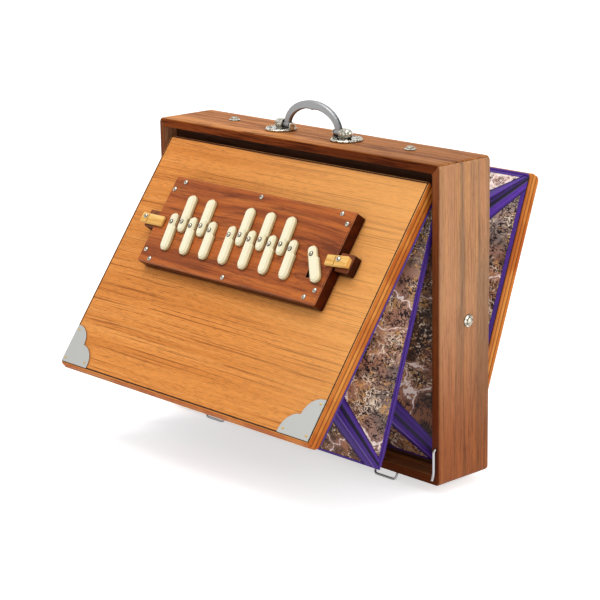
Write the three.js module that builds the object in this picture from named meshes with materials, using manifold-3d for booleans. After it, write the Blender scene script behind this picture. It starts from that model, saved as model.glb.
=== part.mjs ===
// A double-bellows shruti box: a shallow wooden case with a fixed partition, a front board that hangs
// from the top and carries a keyboard, and a rear board that stands on the bottom. Millimetres, +Z up,
// front towards -Y, origin in the middle of the underside of the case.
// It is drawn as it stands open: both boards are pushed out by the springs of their bellows.

import * as THREE from "three";
import { mergeVertices } from "three/addons/utils/BufferGeometryUtils.js";
import Module from "manifold-3d";

const wasm = await Module();
wasm.setup();

const degree = Math.PI / 180;

// Driving dimensions of the case
const caseWidth = 405;
const caseDepth = 69.6;
const caseHeight = 310;
const wall = 9;
const caseEdgeRadius = 1.8;
const caseCornerRadius = 5;
const innerCornerRadius = 2.5;

// Clearances
const gap = 0.3;
const glueLine = 0.2;
const overrun = 5;

// The two boards, the room round them in the case and how far they stand open
const boardThickness = 14.7;
const boardInset = 1.1;
const boardSideGap = 6.5;
const frontTopGap = 17.5;
const frontBottomGap = 8.5;
const rearBottomGap = 17.5;
const rearTopGap = 7.5;
const frontOpen = 36.1 * degree;
const rearOpen = 19.8 * degree;
const beadCount = 3;
const beadBulge = 0.6;
const beadSteps = 4;
const freeEdgeCrown = 2.4;
const boardCornerRadius = 3;
const boardCornerSteps = 3;

// The partition and the rails that the bellows are glued to
const partitionThickness = 10;
const railDepth = 8.8;
const bellowsRailWidth = 21;
const railLip = 0.7;

// The folded card of the bellows
const cardThickness = 1.2;
const bindingThickness = 1.6;
const bindingWidth = 6;
const pleatInset = 0.6;
const pleatStart = 3;
const foldOffset = 4.5;
const foldShare = 0.511;
const sidePanelAngle = 15.5 * degree;
const endPanelWidth = 65;
const innerPleatFloorGap = 4.5;

// Where the card panels are mitred for the leather gussets: how far each mitre starts from the corner,
// along the side and along the free end, and its slope as a share of its depth
const frontSideMitre = 9;
const frontSideMitreShare = 1.1;
const frontEndMitre = 19;
const frontEndMitreShare = 0.9;
const rearSideMitre = 15;
const rearSideMitreShare = 1.35;
const rearEndMitre = 4.5;
const rearEndMitreShare = 0.95;

// Keyboard plate
const plateEndMargin = 28.3;
const plateHeight = 97;
const plateThickness = 13.4;
const plateTop = 47.8;
const plateBevel = 1.2;
const plateCornerRadius = 1.5;

// Keys
const keyLength = 41;
const keyWidth = 11.5;
const keyThickness = 5;
const keyBevel = 2;
const keyNotch = 1.6;
const keyNotchLength = 14;
const keyPivotInset = 10.5;
const keyPitch = 29.4;
const lowerKeyCount = 8;
const upperKeyAfter = [0, 1, 3, 4, 5];
const lowerPivotDrop = 98.4;
const upperPivotDrop = 96.1;
const keyboardShift = 1.8;
const keyLean = 7.4 * degree;
const keySwing = 28.3 * degree;

// Tone slots below the keys, and the reeds behind them
const slotWidth = 4.8;
const slotLength = 10;
const slotReach = 17.3;
const reedBlockInset = 5;
const reedBlockHeight = 78;
const reedBlockThickness = 7;
const reedCellWidth = 6.4;
const reedCellLength = 25;
const reedPlateWidth = 10;
const reedPlateLength = 33;
const reedPlateThickness = 1.2;
const reedFrame = 1.6;
const tongueThickness = 0.5;
const tongueGap = 0.35;

// Latch blocks and turn buttons at the ends of the keyboard plate
const blockWidth = 18.3;
const blockHeight = 19;
const blockThickness = 10.4;
const blockTop = 87.8;
const blockBevel = 1.2;
const buttonWidth = 10.8;
const buttonThickness = 3.4;
const buttonBevel = 0.8;
const buttonFootReach = 3.4;
const buttonKerfReach = 4.7;
const buttonPivotRise = 1.5;
const buttonKerf = 0.7;
const leftButton = { side: -1, length: 34.3, outerReach: 6.5, pivotX: 144.5, drop: 98.3, lean: 0 };
const rightButton = { side: 1, length: 27.5, outerReach: 11.2, pivotX: 138.7, drop: 97, lean: 5.4 * degree };

// Cusped plates on the lower corners of the front board
const cornerPlateSize = 41;
const cornerPlateThickness = 1;
const cornerPlateInset = 1.3;
const cornerLobeShare = 0.49;
const cornerLobeRiseShare = 0.05;

// Handle
const handleSpan = 82;
const handleRise = 28;
const handleBand = 8;
const handleThickness = 5;
const handleBevel = 1.1;
const handleNubDrop = 1.3;
const handleNubWidth = 11;
const handleEyeRadius = 3.4;
const handleOffsetY = -2;
const handlePinRadius = 1.6;
const mountCentre = 47.5;
const mountRadius = 16;
const mountThickness = 2;
const mountBevel = 0.8;
const mountLugThickness = 1.6;
const mountLugRadius = 3.2;
const mountBossRadius = 5.4;
const mountBossLength = 13;

// Screws with cup washers that hold the partition
const cupRadius = 6;
const cupHeight = 1.4;
const screwHeadRadius = 3.6;
const screwHeadHeight = 2;
const screwShankRadius = 2;
const screwLength = 26;
const topScrewInset = 75.5;
const sideScrewHeight = 156;

// Bent wires: the feet below the case and the swivel catches on its faces
const wire = 2.4;
const footWidth = 31;
const footInset = 74.5;
const footDrop = 9;
const footDepth = 5;
const footLegY = 28.5;
const footBarY = 33;
const footBend = 4;
const catchHeight = 36.5;
const rearCatchInset = 92.5;
const catchShank = 12;
const catchStandOff = 2.7;
const catchArm = 24;
const catchTipDrop = 6;
const catchTipReach = 2.6;
const catchBend = 3.5;

// Springs, flaps and hinge strips inside the bellows
const springWire = 2;
const springCoilRadius = 3.2;
const springTurns = 2;
const springPlaceShare = 0.35;
const springCoilDrop = 24;
const springLeg = 115;
const flapWidth = 96;
const flapHeight = 30;
const flapThickness = 1.4;
const flapSpacing = 180;
const flapDrop = 170;
const airHoleRadius = 5;
const airHoleCount = 4;
const airHolePitch = 21;
const inletHeight = 66;
const stripThickness = 0.9;
const stripReach = 15;
const stripInset = 17;

// Facets
const arcSteps = 6;
const wireSides = 10;
const bendSteps = 4;
const weld = 1e-4;

// Derived places
const halfWidth = caseWidth / 2;
const halfDepth = caseDepth / 2;
const innerHalfWidth = halfWidth - wall;
const innerTop = caseHeight - wall;
const boardWidth = 2 * (innerHalfWidth - boardSideGap);
const frontBoardHeight = innerTop - wall - frontTopGap - frontBottomGap;
const rearBoardHeight = innerTop - wall - rearBottomGap - rearTopGap;
const hingeY = halfDepth - boardInset - boardThickness;
const frontHingeZ = innerTop - frontTopGap;
const rearHingeZ = wall + rearBottomGap;
const railFrontY = -(railDepth + glueLine);
const foldX = boardWidth / 2 - pleatInset;
const keyRowWidth = (lowerKeyCount - 1) * keyPitch;
const keyRowStart = keyboardShift - keyRowWidth / 2;
const plateWidth = keyRowWidth + 2 * plateEndMargin;
const reedBlockWidth = plateWidth - 2 * reedBlockInset;

// Finishes
const walnut = finish(0x7a4526, 0.45);
const darkWalnut = finish(0x5a3018, 0.5);
const teak = finish(0xd19a5b, 0.45);
const rosewood = finish(0x93491f, 0.4);
const paleWood = finish(0xdca552, 0.5);
const innerWood = finish(0xb58a5c, 0.7);
const ivory = finish(0xf0e8c4, 0.35);
const nickel = finish(0xb4b6ba, 0.25, 1);
const steel = finish(0x9a9ca0, 0.3, 1);
const marbledPaper = finish(0x785541, 0.8);
const purpleLeather = finish(0x46208a, 0.6);
const paleLeather = finish(0xcbb79a, 0.8);

function finish(color, roughness, metalness = 0) {
  return new THREE.MeshStandardMaterial({ color, roughness, metalness });
}

// A closed geometry as a solid that can be cut and joined.
function toSolid(geometry) {
  const bare = new THREE.BufferGeometry();
  bare.setAttribute("position", geometry.getAttribute("position").clone());
  bare.setIndex(geometry.getIndex());
  const merged = mergeVertices(bare, weld);
  const mesh = new wasm.Mesh({
    numProp: 3,
    vertProperties: merged.getAttribute("position").array,
    triVerts: new Uint32Array(merged.getIndex().array),
  });
  return new wasm.Manifold(mesh);
}

function toGeometry(solid) {
  const mesh = solid.getMesh();
  const indexed = new THREE.BufferGeometry();
  indexed.setAttribute("position", new THREE.BufferAttribute(mesh.vertProperties, 3));
  indexed.setIndex(new THREE.BufferAttribute(mesh.triVerts, 1));
  const faceted = indexed.toNonIndexed();
  faceted.computeVertexNormals();
  return faceted;
}

function cut(body, ...tools) {
  let solid = toSolid(body);
  for (const tool of tools) solid = solid.subtract(toSolid(tool));
  return toGeometry(solid);
}

function join(...pieces) {
  let solid = toSolid(pieces[0]);
  for (const piece of pieces.slice(1)) solid = solid.add(toSolid(piece));
  return toGeometry(solid);
}

function common(a, b) {
  return toGeometry(toSolid(a).intersect(toSolid(b)));
}

// A box given by its low and high corners.
function block(x0, x1, y0, y1, z0, z1) {
  const box = new THREE.BoxGeometry(x1 - x0, y1 - y0, z1 - z0);
  return box.translate((x0 + x1) / 2, (y0 + y1) / 2, (z0 + z1) / 2);
}

// A round bar from one point to another.
function rod(radius, from, to, sides = 4 * arcSteps) {
  const along = to.clone().sub(from);
  const bar = new THREE.CylinderGeometry(radius, radius, along.length(), sides);
  const turn = new THREE.Quaternion().setFromUnitVectors(
    new THREE.Vector3(0, 1, 0),
    along.clone().normalize(),
  );
  bar.applyQuaternion(turn);
  const middle = from.clone().add(to).multiplyScalar(0.5);
  return bar.translate(middle.x, middle.y, middle.z);
}

const point = (x, y, z) => new THREE.Vector3(x, y, z);

// A closed solid through layers of outlines that all have the same number of points, drawn in X and Z
// and stacked towards -Y. Each layer is { outline, y }.
function stack(layers) {
  const count = layers[0].outline.length;
  const positions = [];
  for (const { outline, y } of layers) {
    for (const p of outline) positions.push(p.x, y, p.y);
  }
  const index = [];
  for (let layer = 0; layer < layers.length - 1; layer += 1) {
    for (let i = 0; i < count; i += 1) {
      const next = (i + 1) % count;
      const a = layer * count + i;
      const b = layer * count + next;
      index.push(a, b, b + count, a, b + count, a + count);
    }
  }
  const caps = THREE.ShapeUtils.triangulateShape(layers[0].outline, []);
  const last = (layers.length - 1) * count;
  for (const [a, b, c] of caps) {
    index.push(a, c, b);
    index.push(a + last, b + last, c + last);
  }
  const geometry = new THREE.BufferGeometry();
  geometry.setAttribute("position", new THREE.Float32BufferAttribute(positions, 3));
  geometry.setIndex(index);
  const faceted = geometry.toNonIndexed();
  faceted.computeVertexNormals();
  return faceted;
}

function arcPoints(cx, cy, radius, start, sweep, steps = arcSteps) {
  const points = [];
  for (let i = 0; i <= steps; i += 1) {
    const angle = start + (sweep * i) / steps;
    points.push(new THREE.Vector2(cx + radius * Math.cos(angle), cy + radius * Math.sin(angle)));
  }
  return points;
}

// The outline of a rectangle with round corners, drawn in by an inset, as a list of points.
function roundedOutline(width, height, radius, inset = 0, steps = arcSteps) {
  const r = Math.max(radius - inset, radius / 4);
  const x = width / 2 - inset - r;
  const z = height / 2 - inset - r;
  const quarter = Math.PI / 2;
  return [
    ...arcPoints(x, z, r, 0, quarter, steps),
    ...arcPoints(-x, z, r, quarter, quarter, steps),
    ...arcPoints(-x, -z, r, 2 * quarter, quarter, steps),
    ...arcPoints(x, -z, r, 3 * quarter, quarter, steps),
  ];
}

// A flat block whose front edges are bevelled. Its back lies in y = 0 and its front at -thickness.
function bevelled(outlineOf, thickness, bevel) {
  return stack([
    { outline: outlineOf(0), y: 0 },
    { outline: outlineOf(0), y: bevel - thickness },
    { outline: outlineOf(bevel), y: -thickness },
  ]);
}

// A path that visits each of its points in even steps, so that straight runs need no extra facets.
class PointPath extends THREE.Curve {
  constructor(points) {
    super();
    this.points = points;
  }

  getPoint(t, target = new THREE.Vector3()) {
    const place = t * (this.points.length - 1);
    const before = Math.min(Math.floor(place), this.points.length - 2);
    return target.lerpVectors(this.points[before], this.points[before + 1], place - before);
  }

  getUtoTmapping(u) {
    return u;
  }
}

// A round wire through a list of points.
function bentWire(points, diameter) {
  const section = new THREE.Shape();
  section.absarc(0, 0, diameter / 2, 0, 2 * Math.PI);
  return new THREE.ExtrudeGeometry(section, {
    extrudePath: new PointPath(points),
    steps: points.length - 1,
    curveSegments: wireSides / 2,
    bevelEnabled: false,
  });
}

// The points of a path through corners whose bends are rounded.
function roundedPath(corners, bend) {
  const points = [corners[0]];
  for (let i = 1; i < corners.length - 1; i += 1) {
    const before = corners[i - 1].clone().sub(corners[i]).setLength(bend).add(corners[i]);
    const after = corners[i + 1].clone().sub(corners[i]).setLength(bend).add(corners[i]);
    points.push(...new THREE.QuadraticBezierCurve3(before, corners[i], after).getPoints(bendSteps));
  }
  points.push(corners.at(-1));
  return points;
}

const instrument = new THREE.Group();

function add(parent, name, geometry, material) {
  const mesh = new THREE.Mesh(geometry, material);
  mesh.name = name;
  parent.add(mesh);
  return mesh;
}

// Case: one hollow block with round edges, parted along its mitres into four boards.
function caseBlank() {
  const outline = new THREE.Shape(roundedOutline(caseWidth, caseHeight, caseCornerRadius));
  const ring = new THREE.ExtrudeGeometry(outline, {
    depth: caseDepth - 2 * caseEdgeRadius,
    bevelThickness: caseEdgeRadius,
    bevelSize: caseEdgeRadius,
    bevelOffset: -caseEdgeRadius,
    bevelSegments: 3,
  });
  ring.rotateX(Math.PI / 2);
  ring.translate(0, halfDepth - caseEdgeRadius, caseHeight / 2);
  return cut(ring, caseHollow(0));
}

// The space inside the case, from front to back, drawn in by an inset.
function caseHollow(inset) {
  const outline = roundedOutline(2 * innerHalfWidth, innerTop - wall, innerCornerRadius, inset);
  const hollow = stack([
    { outline, y: halfDepth + overrun },
    { outline, y: -halfDepth - overrun },
  ]);
  return hollow.translate(0, 0, caseHeight / 2);
}

// The space of one case board between its two mitres. side is +1 for top or right.
function mitreSpace(horizontal, side) {
  const long = (horizontal ? halfWidth : caseHeight / 2) + overrun - (horizontal ? glueLine : 0);
  const short = long - wall - 2 * overrun;
  const far = (horizontal ? caseHeight / 2 : halfWidth) + overrun;
  const near = far - wall - 2 * overrun;
  const corners = [
    [-long, far],
    [long, far],
    [short, near],
    [-short, near],
  ];
  const outline = corners.map(([along, across]) =>
    horizontal
      ? new THREE.Vector2(along, side * across)
      : new THREE.Vector2(side * across, along),
  );
  if (THREE.ShapeUtils.isClockWise(outline)) outline.reverse();
  const depth = halfDepth + overrun;
  const prism = stack([
    { outline, y: depth },
    { outline, y: -depth },
  ]);
  return prism.translate(0, 0, caseHeight / 2);
}

// A path of a screw shank or wire leg as a clearance hole.
function boreFor(radius, from, to) {
  return rod(radius + gap, from, to, 2 * arcSteps);
}

const screwY = partitionThickness / 2;
const topScrew = (side) => point(side * (halfWidth - topScrewInset), screwY, caseHeight);
const sideScrew = (side) => point(side * halfWidth, screwY, sideScrewHeight);
const screwPlaces = [
  { name: "partition_screw_top_left", at: topScrew(-1), out: point(0, 0, 1) },
  { name: "partition_screw_top_right", at: topScrew(1), out: point(0, 0, 1) },
  { name: "partition_screw_left", at: sideScrew(-1), out: point(-1, 0, 0) },
  { name: "partition_screw_right", at: sideScrew(1), out: point(1, 0, 0) },
];
const screwBores = screwPlaces.map(({ at, out }) =>
  boreFor(
    screwShankRadius,
    at.clone().addScaledVector(out, overrun),
    at.clone().addScaledVector(out, -screwLength - gap),
  ),
);

const footX = halfWidth - footInset;
const footPlaces = [
  { name: "foot_front_left", x: -footX, side: -1 },
  { name: "foot_front_right", x: footX, side: -1 },
  { name: "foot_rear_left", x: -footX, side: 1 },
  { name: "foot_rear_right", x: footX, side: 1 },
];

// Both legs of a wire foot stand in blind holes in the bottom board and lean out to its bar.
function footCorners({ x, side }) {
  const half = (footWidth - wire) / 2;
  const barZ = wire / 2 - footDrop;
  const slant = (footBarY - footLegY) / barZ;
  const topY = footLegY + slant * footDepth;
  return [
    point(x - half, side * topY, footDepth),
    point(x - half, side * footBarY, barZ),
    point(x + half, side * footBarY, barZ),
    point(x + half, side * topY, footDepth),
  ];
}

const footBores = footPlaces.flatMap((place) => {
  const [a, b, c, d] = footCorners(place);
  const beyond = gap / footDepth;
  return [
    boreFor(wire / 2, b, a.clone().lerp(b, -beyond)),
    boreFor(wire / 2, c, d.clone().lerp(c, -beyond)),
  ];
});

// The front catches hang beside the front board. The rear ones sit in the top board and lie turned aside.
const catchX = halfWidth - wall / 2;
const rearCatchX = halfWidth - rearCatchInset;
const rearCatchZ = caseHeight - wall / 2;
const aside = Math.PI / 2;
const catchPlaces = [
  { name: "catch_front_left", board: "left", x: -catchX, y: -1, z: catchHeight, turn: 0 },
  { name: "catch_front_right", board: "right", x: catchX, y: -1, z: catchHeight, turn: 0 },
  { name: "catch_rear_left", board: "top", x: -rearCatchX, y: 1, z: rearCatchZ, turn: -aside },
  { name: "catch_rear_right", board: "top", x: rearCatchX, y: 1, z: rearCatchZ, turn: aside },
];

function catchBores(board) {
  return catchPlaces
    .filter((place) => place.board === board)
    .map(({ x, y, z }) =>
      boreFor(
        wire / 2,
        point(x, y * (halfDepth + overrun), z),
        point(x, y * (halfDepth - catchShank - gap), z),
      ),
    );
}

function addCase(root) {
  const blank = caseBlank();
  const topBores = [screwBores[0], screwBores[1], ...catchBores("top")];
  const top = cut(common(blank, mitreSpace(true, 1)), ...topBores);
  const bottom = cut(common(blank, mitreSpace(true, -1)), ...footBores);
  const left = cut(common(blank, mitreSpace(false, -1)), screwBores[2], ...catchBores("left"));
  const right = cut(common(blank, mitreSpace(false, 1)), screwBores[3], ...catchBores("right"));
  add(root, "case_top", top, walnut);
  add(root, "case_bottom", bottom, walnut);
  add(root, "case_left", left, walnut);
  add(root, "case_right", right, walnut);
}

// Rows of air holes through a board that stands in X and Z, each row below the top of its flap.
function airHoles(centreX, middleZ, y0, y1) {
  const holes = [];
  for (let i = 0; i < airHoleCount; i += 1) {
    const x = centreX + (i - (airHoleCount - 1) / 2) * airHolePitch;
    const from = point(x, y0 - overrun, middleZ);
    holes.push(rod(airHoleRadius, from, point(x, y1 + overrun, middleZ)));
  }
  return holes;
}

const flapHoleZ = frontHingeZ - flapDrop;

function addPartition(root) {
  const inside = caseHollow(glueLine);
  const halfSpan = innerHalfWidth;
  const railX = halfSpan - bellowsRailWidth;
  const railTop = frontHingeZ - glueLine;
  const bottomRailTop = wall + bellowsRailWidth;
  const sideRailLow = bottomRailTop + glueLine;
  const rearFace = partitionThickness + glueLine;
  const panel = common(block(-halfSpan, halfSpan, 0, partitionThickness, wall, innerTop), inside);
  const ports = [-1, 1].flatMap((side) =>
    airHoles((side * flapSpacing) / 2, flapHoleZ, 0, partitionThickness),
  );
  add(root, "partition", cut(panel, ...ports, ...screwBores), innerWood);

  const rails = {
    bellows_rail_left: block(-halfSpan, -railX, railFrontY, -glueLine, sideRailLow, railTop),
    bellows_rail_right: block(railX, halfSpan, railFrontY, -glueLine, sideRailLow, railTop),
    bellows_rail_bottom: block(-halfSpan, halfSpan, railFrontY, -glueLine, wall, bottomRailTop),
    front_hinge_rail: block(-halfSpan, halfSpan, railLip - hingeY, -glueLine, frontHingeZ, innerTop),
    rear_hinge_rail: block(-halfSpan, halfSpan, rearFace, hingeY - railLip, wall, rearHingeZ),
  };
  for (const [name, rail] of Object.entries(rails)) {
    add(root, name, common(rail, inside), innerWood);
  }
}

// A screw whose domed head sits in a cup washer, turned as one piece along +Z from its seat.
function cupScrew() {
  const rise = cupHeight;
  const profile = [
    new THREE.Vector2(0, -screwLength),
    new THREE.Vector2(screwShankRadius / 3, -screwLength),
    new THREE.Vector2(screwShankRadius, -screwLength + 2 * screwShankRadius),
    new THREE.Vector2(screwShankRadius, gap),
    new THREE.Vector2(cupRadius, gap),
    new THREE.Vector2(cupRadius, gap + rise / 3),
    new THREE.Vector2(screwHeadRadius + rise / 2, gap + rise),
    new THREE.Vector2(screwHeadRadius, gap + rise),
  ];
  for (let i = 1; i < arcSteps; i += 1) {
    const angle = (i / arcSteps) * (Math.PI / 2);
    const dome = screwHeadHeight * Math.sin(angle);
    profile.push(new THREE.Vector2(screwHeadRadius * Math.cos(angle), gap + rise + dome));
  }
  profile.push(new THREE.Vector2(0, gap + rise + screwHeadHeight));
  return new THREE.LatheGeometry(profile, 4 * arcSteps).rotateX(Math.PI / 2);
}

function addScrews(root) {
  const up = point(0, 0, 1);
  for (const { name, at, out } of screwPlaces) {
    const screw = add(root, name, cupScrew(), nickel);
    screw.quaternion.setFromUnitVectors(up, out);
    screw.position.copy(at);
  }
}

function addFeet(root) {
  for (const place of footPlaces) {
    const points = roundedPath(footCorners(place), footBend);
    add(root, place.name, bentWire(points, wire), steel);
  }
}

// A swivel catch: a shank in the case, a short stand-off, and an arm that hangs beside the board.
function addCatches(root) {
  for (const { name, x, y, z, turn } of catchPlaces) {
    const standOff = y * catchStandOff;
    const corners = [
      point(0, y * -catchShank, 0),
      point(0, standOff, 0),
      point(0, standOff, -catchArm),
      point(0, standOff + y * catchTipReach, -catchArm - catchTipDrop),
    ];
    const arm = add(root, name, bentWire(roundedPath(corners, catchBend), wire), steel);
    arm.position.set(x, y * halfDepth, z);
    arm.rotation.y = turn;
  }
}

const pivotLift = mountThickness + handleEyeRadius + 3 * gap;

// One handle mount: a round base with a thin inner lug, a domed outer boss and the pin between them.
function handleMount(side) {
  const rim = new THREE.LatheGeometry(
    [
      new THREE.Vector2(0, 0),
      new THREE.Vector2(mountRadius, 0),
      new THREE.Vector2(mountRadius, mountThickness - mountBevel),
      new THREE.Vector2(mountRadius - mountBevel, mountThickness),
      new THREE.Vector2(0, mountThickness),
    ],
    8 * arcSteps,
  ).rotateX(Math.PI / 2);
  const legInner = handleSpan / 2 - handleBand - mountCentre;
  const legOuter = handleSpan / 2 - mountCentre;
  const lugTo = legInner - 3 * gap;
  const lugFrom = lugTo - mountLugThickness;
  const bossFrom = legOuter + gap;
  const bossTo = bossFrom + mountBossLength;
  const lugFoot = block(lugFrom, lugTo, -mountLugRadius, mountLugRadius, mountBevel, pivotLift);
  const lugHead = rod(mountLugRadius, point(lugFrom, 0, pivotLift), point(lugTo, 0, pivotLift));
  const pin = rod(handlePinRadius, point(lugFrom, 0, pivotLift), point(bossTo, 0, pivotLift));
  const profile = [new THREE.Vector2(0, bossFrom), new THREE.Vector2(mountBossRadius, bossFrom)];
  const domeFrom = bossTo - mountBossRadius;
  for (let i = 0; i < arcSteps; i += 1) {
    const angle = (i / arcSteps) * (Math.PI / 2);
    const radius = mountBossRadius * Math.cos(angle);
    profile.push(new THREE.Vector2(radius, domeFrom + mountBossRadius * Math.sin(angle)));
  }
  profile.push(new THREE.Vector2(0, bossTo));
  const boss = new THREE.LatheGeometry(profile, 4 * arcSteps).rotateZ(-Math.PI / 2);
  boss.translate(0, 0, pivotLift);
  const neckHalf = mountBossRadius - mountBevel;
  const neck = block(bossFrom, domeFrom, -neckHalf, neckHalf, mountBevel, pivotLift);
  const whole = join(rim, lugFoot, lugHead, pin, boss, neck);
  return side > 0 ? whole : whole.rotateZ(Math.PI);
}

// The outline of the arched band between two half ellipses, with a small nub under its crown.
function bowOutline(inset) {
  const outerX = handleSpan / 2 - inset;
  const innerX = handleSpan / 2 - handleBand + inset;
  const outerRise = handleRise - inset;
  const innerRise = handleRise - handleBand + inset;
  const steps = 4 * arcSteps;
  const outline = [];
  for (let i = 0; i <= steps; i += 1) {
    const angle = (Math.PI * i) / steps;
    outline.push(new THREE.Vector2(outerX * Math.cos(angle), outerRise * Math.sin(angle)));
  }
  for (let i = steps; i >= 0; i -= 1) {
    const angle = (Math.PI * i) / steps;
    const x = innerX * Math.cos(angle);
    const near = Math.max(0, 1 - Math.abs(x) / (handleNubWidth / 2));
    const nub = handleNubDrop * Math.sin((near * Math.PI) / 2);
    outline.push(new THREE.Vector2(x, innerRise * Math.sin(angle) - nub));
  }
  return outline;
}

// The handle: the band with bevelled edges and an eye at each end for its pin.
function handleBow() {
  const outerX = handleSpan / 2;
  const innerX = outerX - handleBand;
  const half = handleThickness / 2;
  const bow = stack([
    { outline: bowOutline(handleBevel), y: half },
    { outline: bowOutline(0), y: half - handleBevel },
    { outline: bowOutline(0), y: handleBevel - half },
    { outline: bowOutline(handleBevel), y: -half },
  ]);
  const eyes = [-1, 1].map((side) =>
    rod(handleEyeRadius, point(side * innerX, 0, 0), point(side * outerX, 0, 0)),
  );
  const reach = outerX + overrun;
  const bore = rod(handlePinRadius + gap, point(-reach, 0, 0), point(reach, 0, 0));
  return cut(join(bow, ...eyes), bore);
}

function addHandle(root) {
  for (const side of [-1, 1]) {
    const name = side < 0 ? "handle_mount_left" : "handle_mount_right";
    const mount = add(root, name, handleMount(side), nickel);
    mount.position.set(side * mountCentre, handleOffsetY, caseHeight + gap);
  }
  const bow = add(root, "handle", handleBow(), nickel);
  bow.position.set(0, handleOffsetY, caseHeight + gap + pivotLift);
}

// A folded sheet of one thickness over a surface of triangles that all wind the same way.
function foldedSheet(triangles, thickness) {
  const corners = [];
  const numberOf = new Map();
  const numbered = triangles.map((triangle) =>
    triangle.map((p) => {
      const key = [p.x, p.y, p.z].map((v) => Math.round(v / weld)).join(" ");
      if (!numberOf.has(key)) {
        numberOf.set(key, corners.length);
        corners.push({ at: p, normal: new THREE.Vector3() });
      }
      return numberOf.get(key);
    }),
  );
  const edges = new Set();
  for (const [a, b, c] of numbered) {
    const ab = corners[b].at.clone().sub(corners[a].at);
    const ac = corners[c].at.clone().sub(corners[a].at);
    const normal = ab.cross(ac).normalize();
    for (const corner of [a, b, c]) corners[corner].normal.add(normal);
    edges.add(a + ">" + b).add(b + ">" + c).add(c + ">" + a);
  }
  const shifted = (side) =>
    corners.map(({ at, normal }) => {
      const lift = normal.clone().setLength((side * thickness) / 2);
      return at.clone().add(lift);
    });
  const geometry = new THREE.BufferGeometry().setFromPoints([...shifted(1), ...shifted(-1)]);
  const count = corners.length;
  const index = [];
  for (const [a, b, c] of numbered) {
    index.push(a, b, c, a + count, c + count, b + count);
  }
  for (const edge of edges) {
    const [a, b] = edge.split(">").map(Number);
    const open = !edges.has(b + ">" + a);
    if (open) index.push(b, a, a + count, b, a + count, b + count);
  }
  geometry.setIndex(index);
  const faceted = geometry.toNonIndexed();
  faceted.computeVertexNormals();
  return faceted;
}

// One wedge-shaped pleat. Two straight edges run from the hinge side at x = foldX, each given by the
// y and z of its origin, its angle from the vertical and its length. Between them the side panels meet
// in a valley that is drawn inwards, the panels of the free end meet in another, and leather gussets
// fill their mitred corners. towards is -1 for a pleat in front of the case that hangs down and +1 for
// one behind it that stands up. The card begins a short way from the hinge line.
function pleat({ first, second, towards, sideMitre, sideShare, endMitre, endShare }) {
  const direction = (angle) => point(0, towards * Math.sin(angle), towards * Math.cos(angle));
  const originOf = (edge) => point(foldX, edge.y, edge.z);
  const middleAngle = (first.angle + second.angle) / 2;
  const halfAngle = (second.angle - first.angle) / 2;
  const crown = originOf(first).lerp(originOf(second), 0.5);
  const length = (first.length + second.length) / 2;

  const valleyTurn = Math.acos(Math.cos(sidePanelAngle) / Math.cos(halfAngle));
  const valley = direction(middleAngle).multiplyScalar(Math.cos(valleyTurn));
  valley.x = -Math.sin(valleyTurn);
  const valleyRun = sideMitre / (1 + sideShare * Math.tan(sidePanelAngle));
  const sideValley = crown.clone().addScaledVector(valley, valleyRun / Math.cos(sidePanelAngle));
  const valleyStart = crown.clone().addScaledVector(valley, pleatStart);

  const rise = length * Math.sin(halfAngle);
  const endRun = length * Math.cos(halfAngle) - Math.sqrt(endPanelWidth ** 2 - rise ** 2);
  const endValley = crown.clone().addScaledVector(direction(middleAngle), endRun);
  endValley.x = foldX - endMitre - endShare * endPanelWidth;

  const mirrored = (p) => point(-p.x, p.y, p.z);
  const reversed = ([a, b, c]) => [a, c, b];
  const triangles = [];
  for (const edge of [first, second]) {
    const along = direction(edge.angle);
    const start = originOf(edge).addScaledVector(along, pleatStart);
    const mitred = originOf(edge).addScaledVector(along, sideMitre);
    const corner = originOf(edge).addScaledVector(along, edge.length);
    const endMitred = corner.clone();
    endMitred.x = foldX - endMitre;
    const side = [
      [start, mitred, sideValley],
      [start, sideValley, valleyStart],
      [mitred, corner, sideValley],
      [corner, endValley, sideValley],
      [corner, endMitred, endValley],
    ];
    const end = [
      [endMitred, mirrored(endMitred), mirrored(endValley)],
      [endMitred, mirrored(endValley), endValley],
    ];
    const otherSide = side.map((triangle) => reversed(triangle.map(mirrored)));
    const half = [...side, ...end, ...otherSide];
    triangles.push(...(edge === first ? half : half.map(reversed)));
  }
  return foldedSheet(triangles, cardThickness);
}

const edgeLift = cardThickness / 2 + gap;
const bindingLift = bindingThickness / 2 + edgeLift;
const foldAngle = foldShare * frontOpen;
const foldLength = frontBoardHeight - pleatInset;

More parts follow.
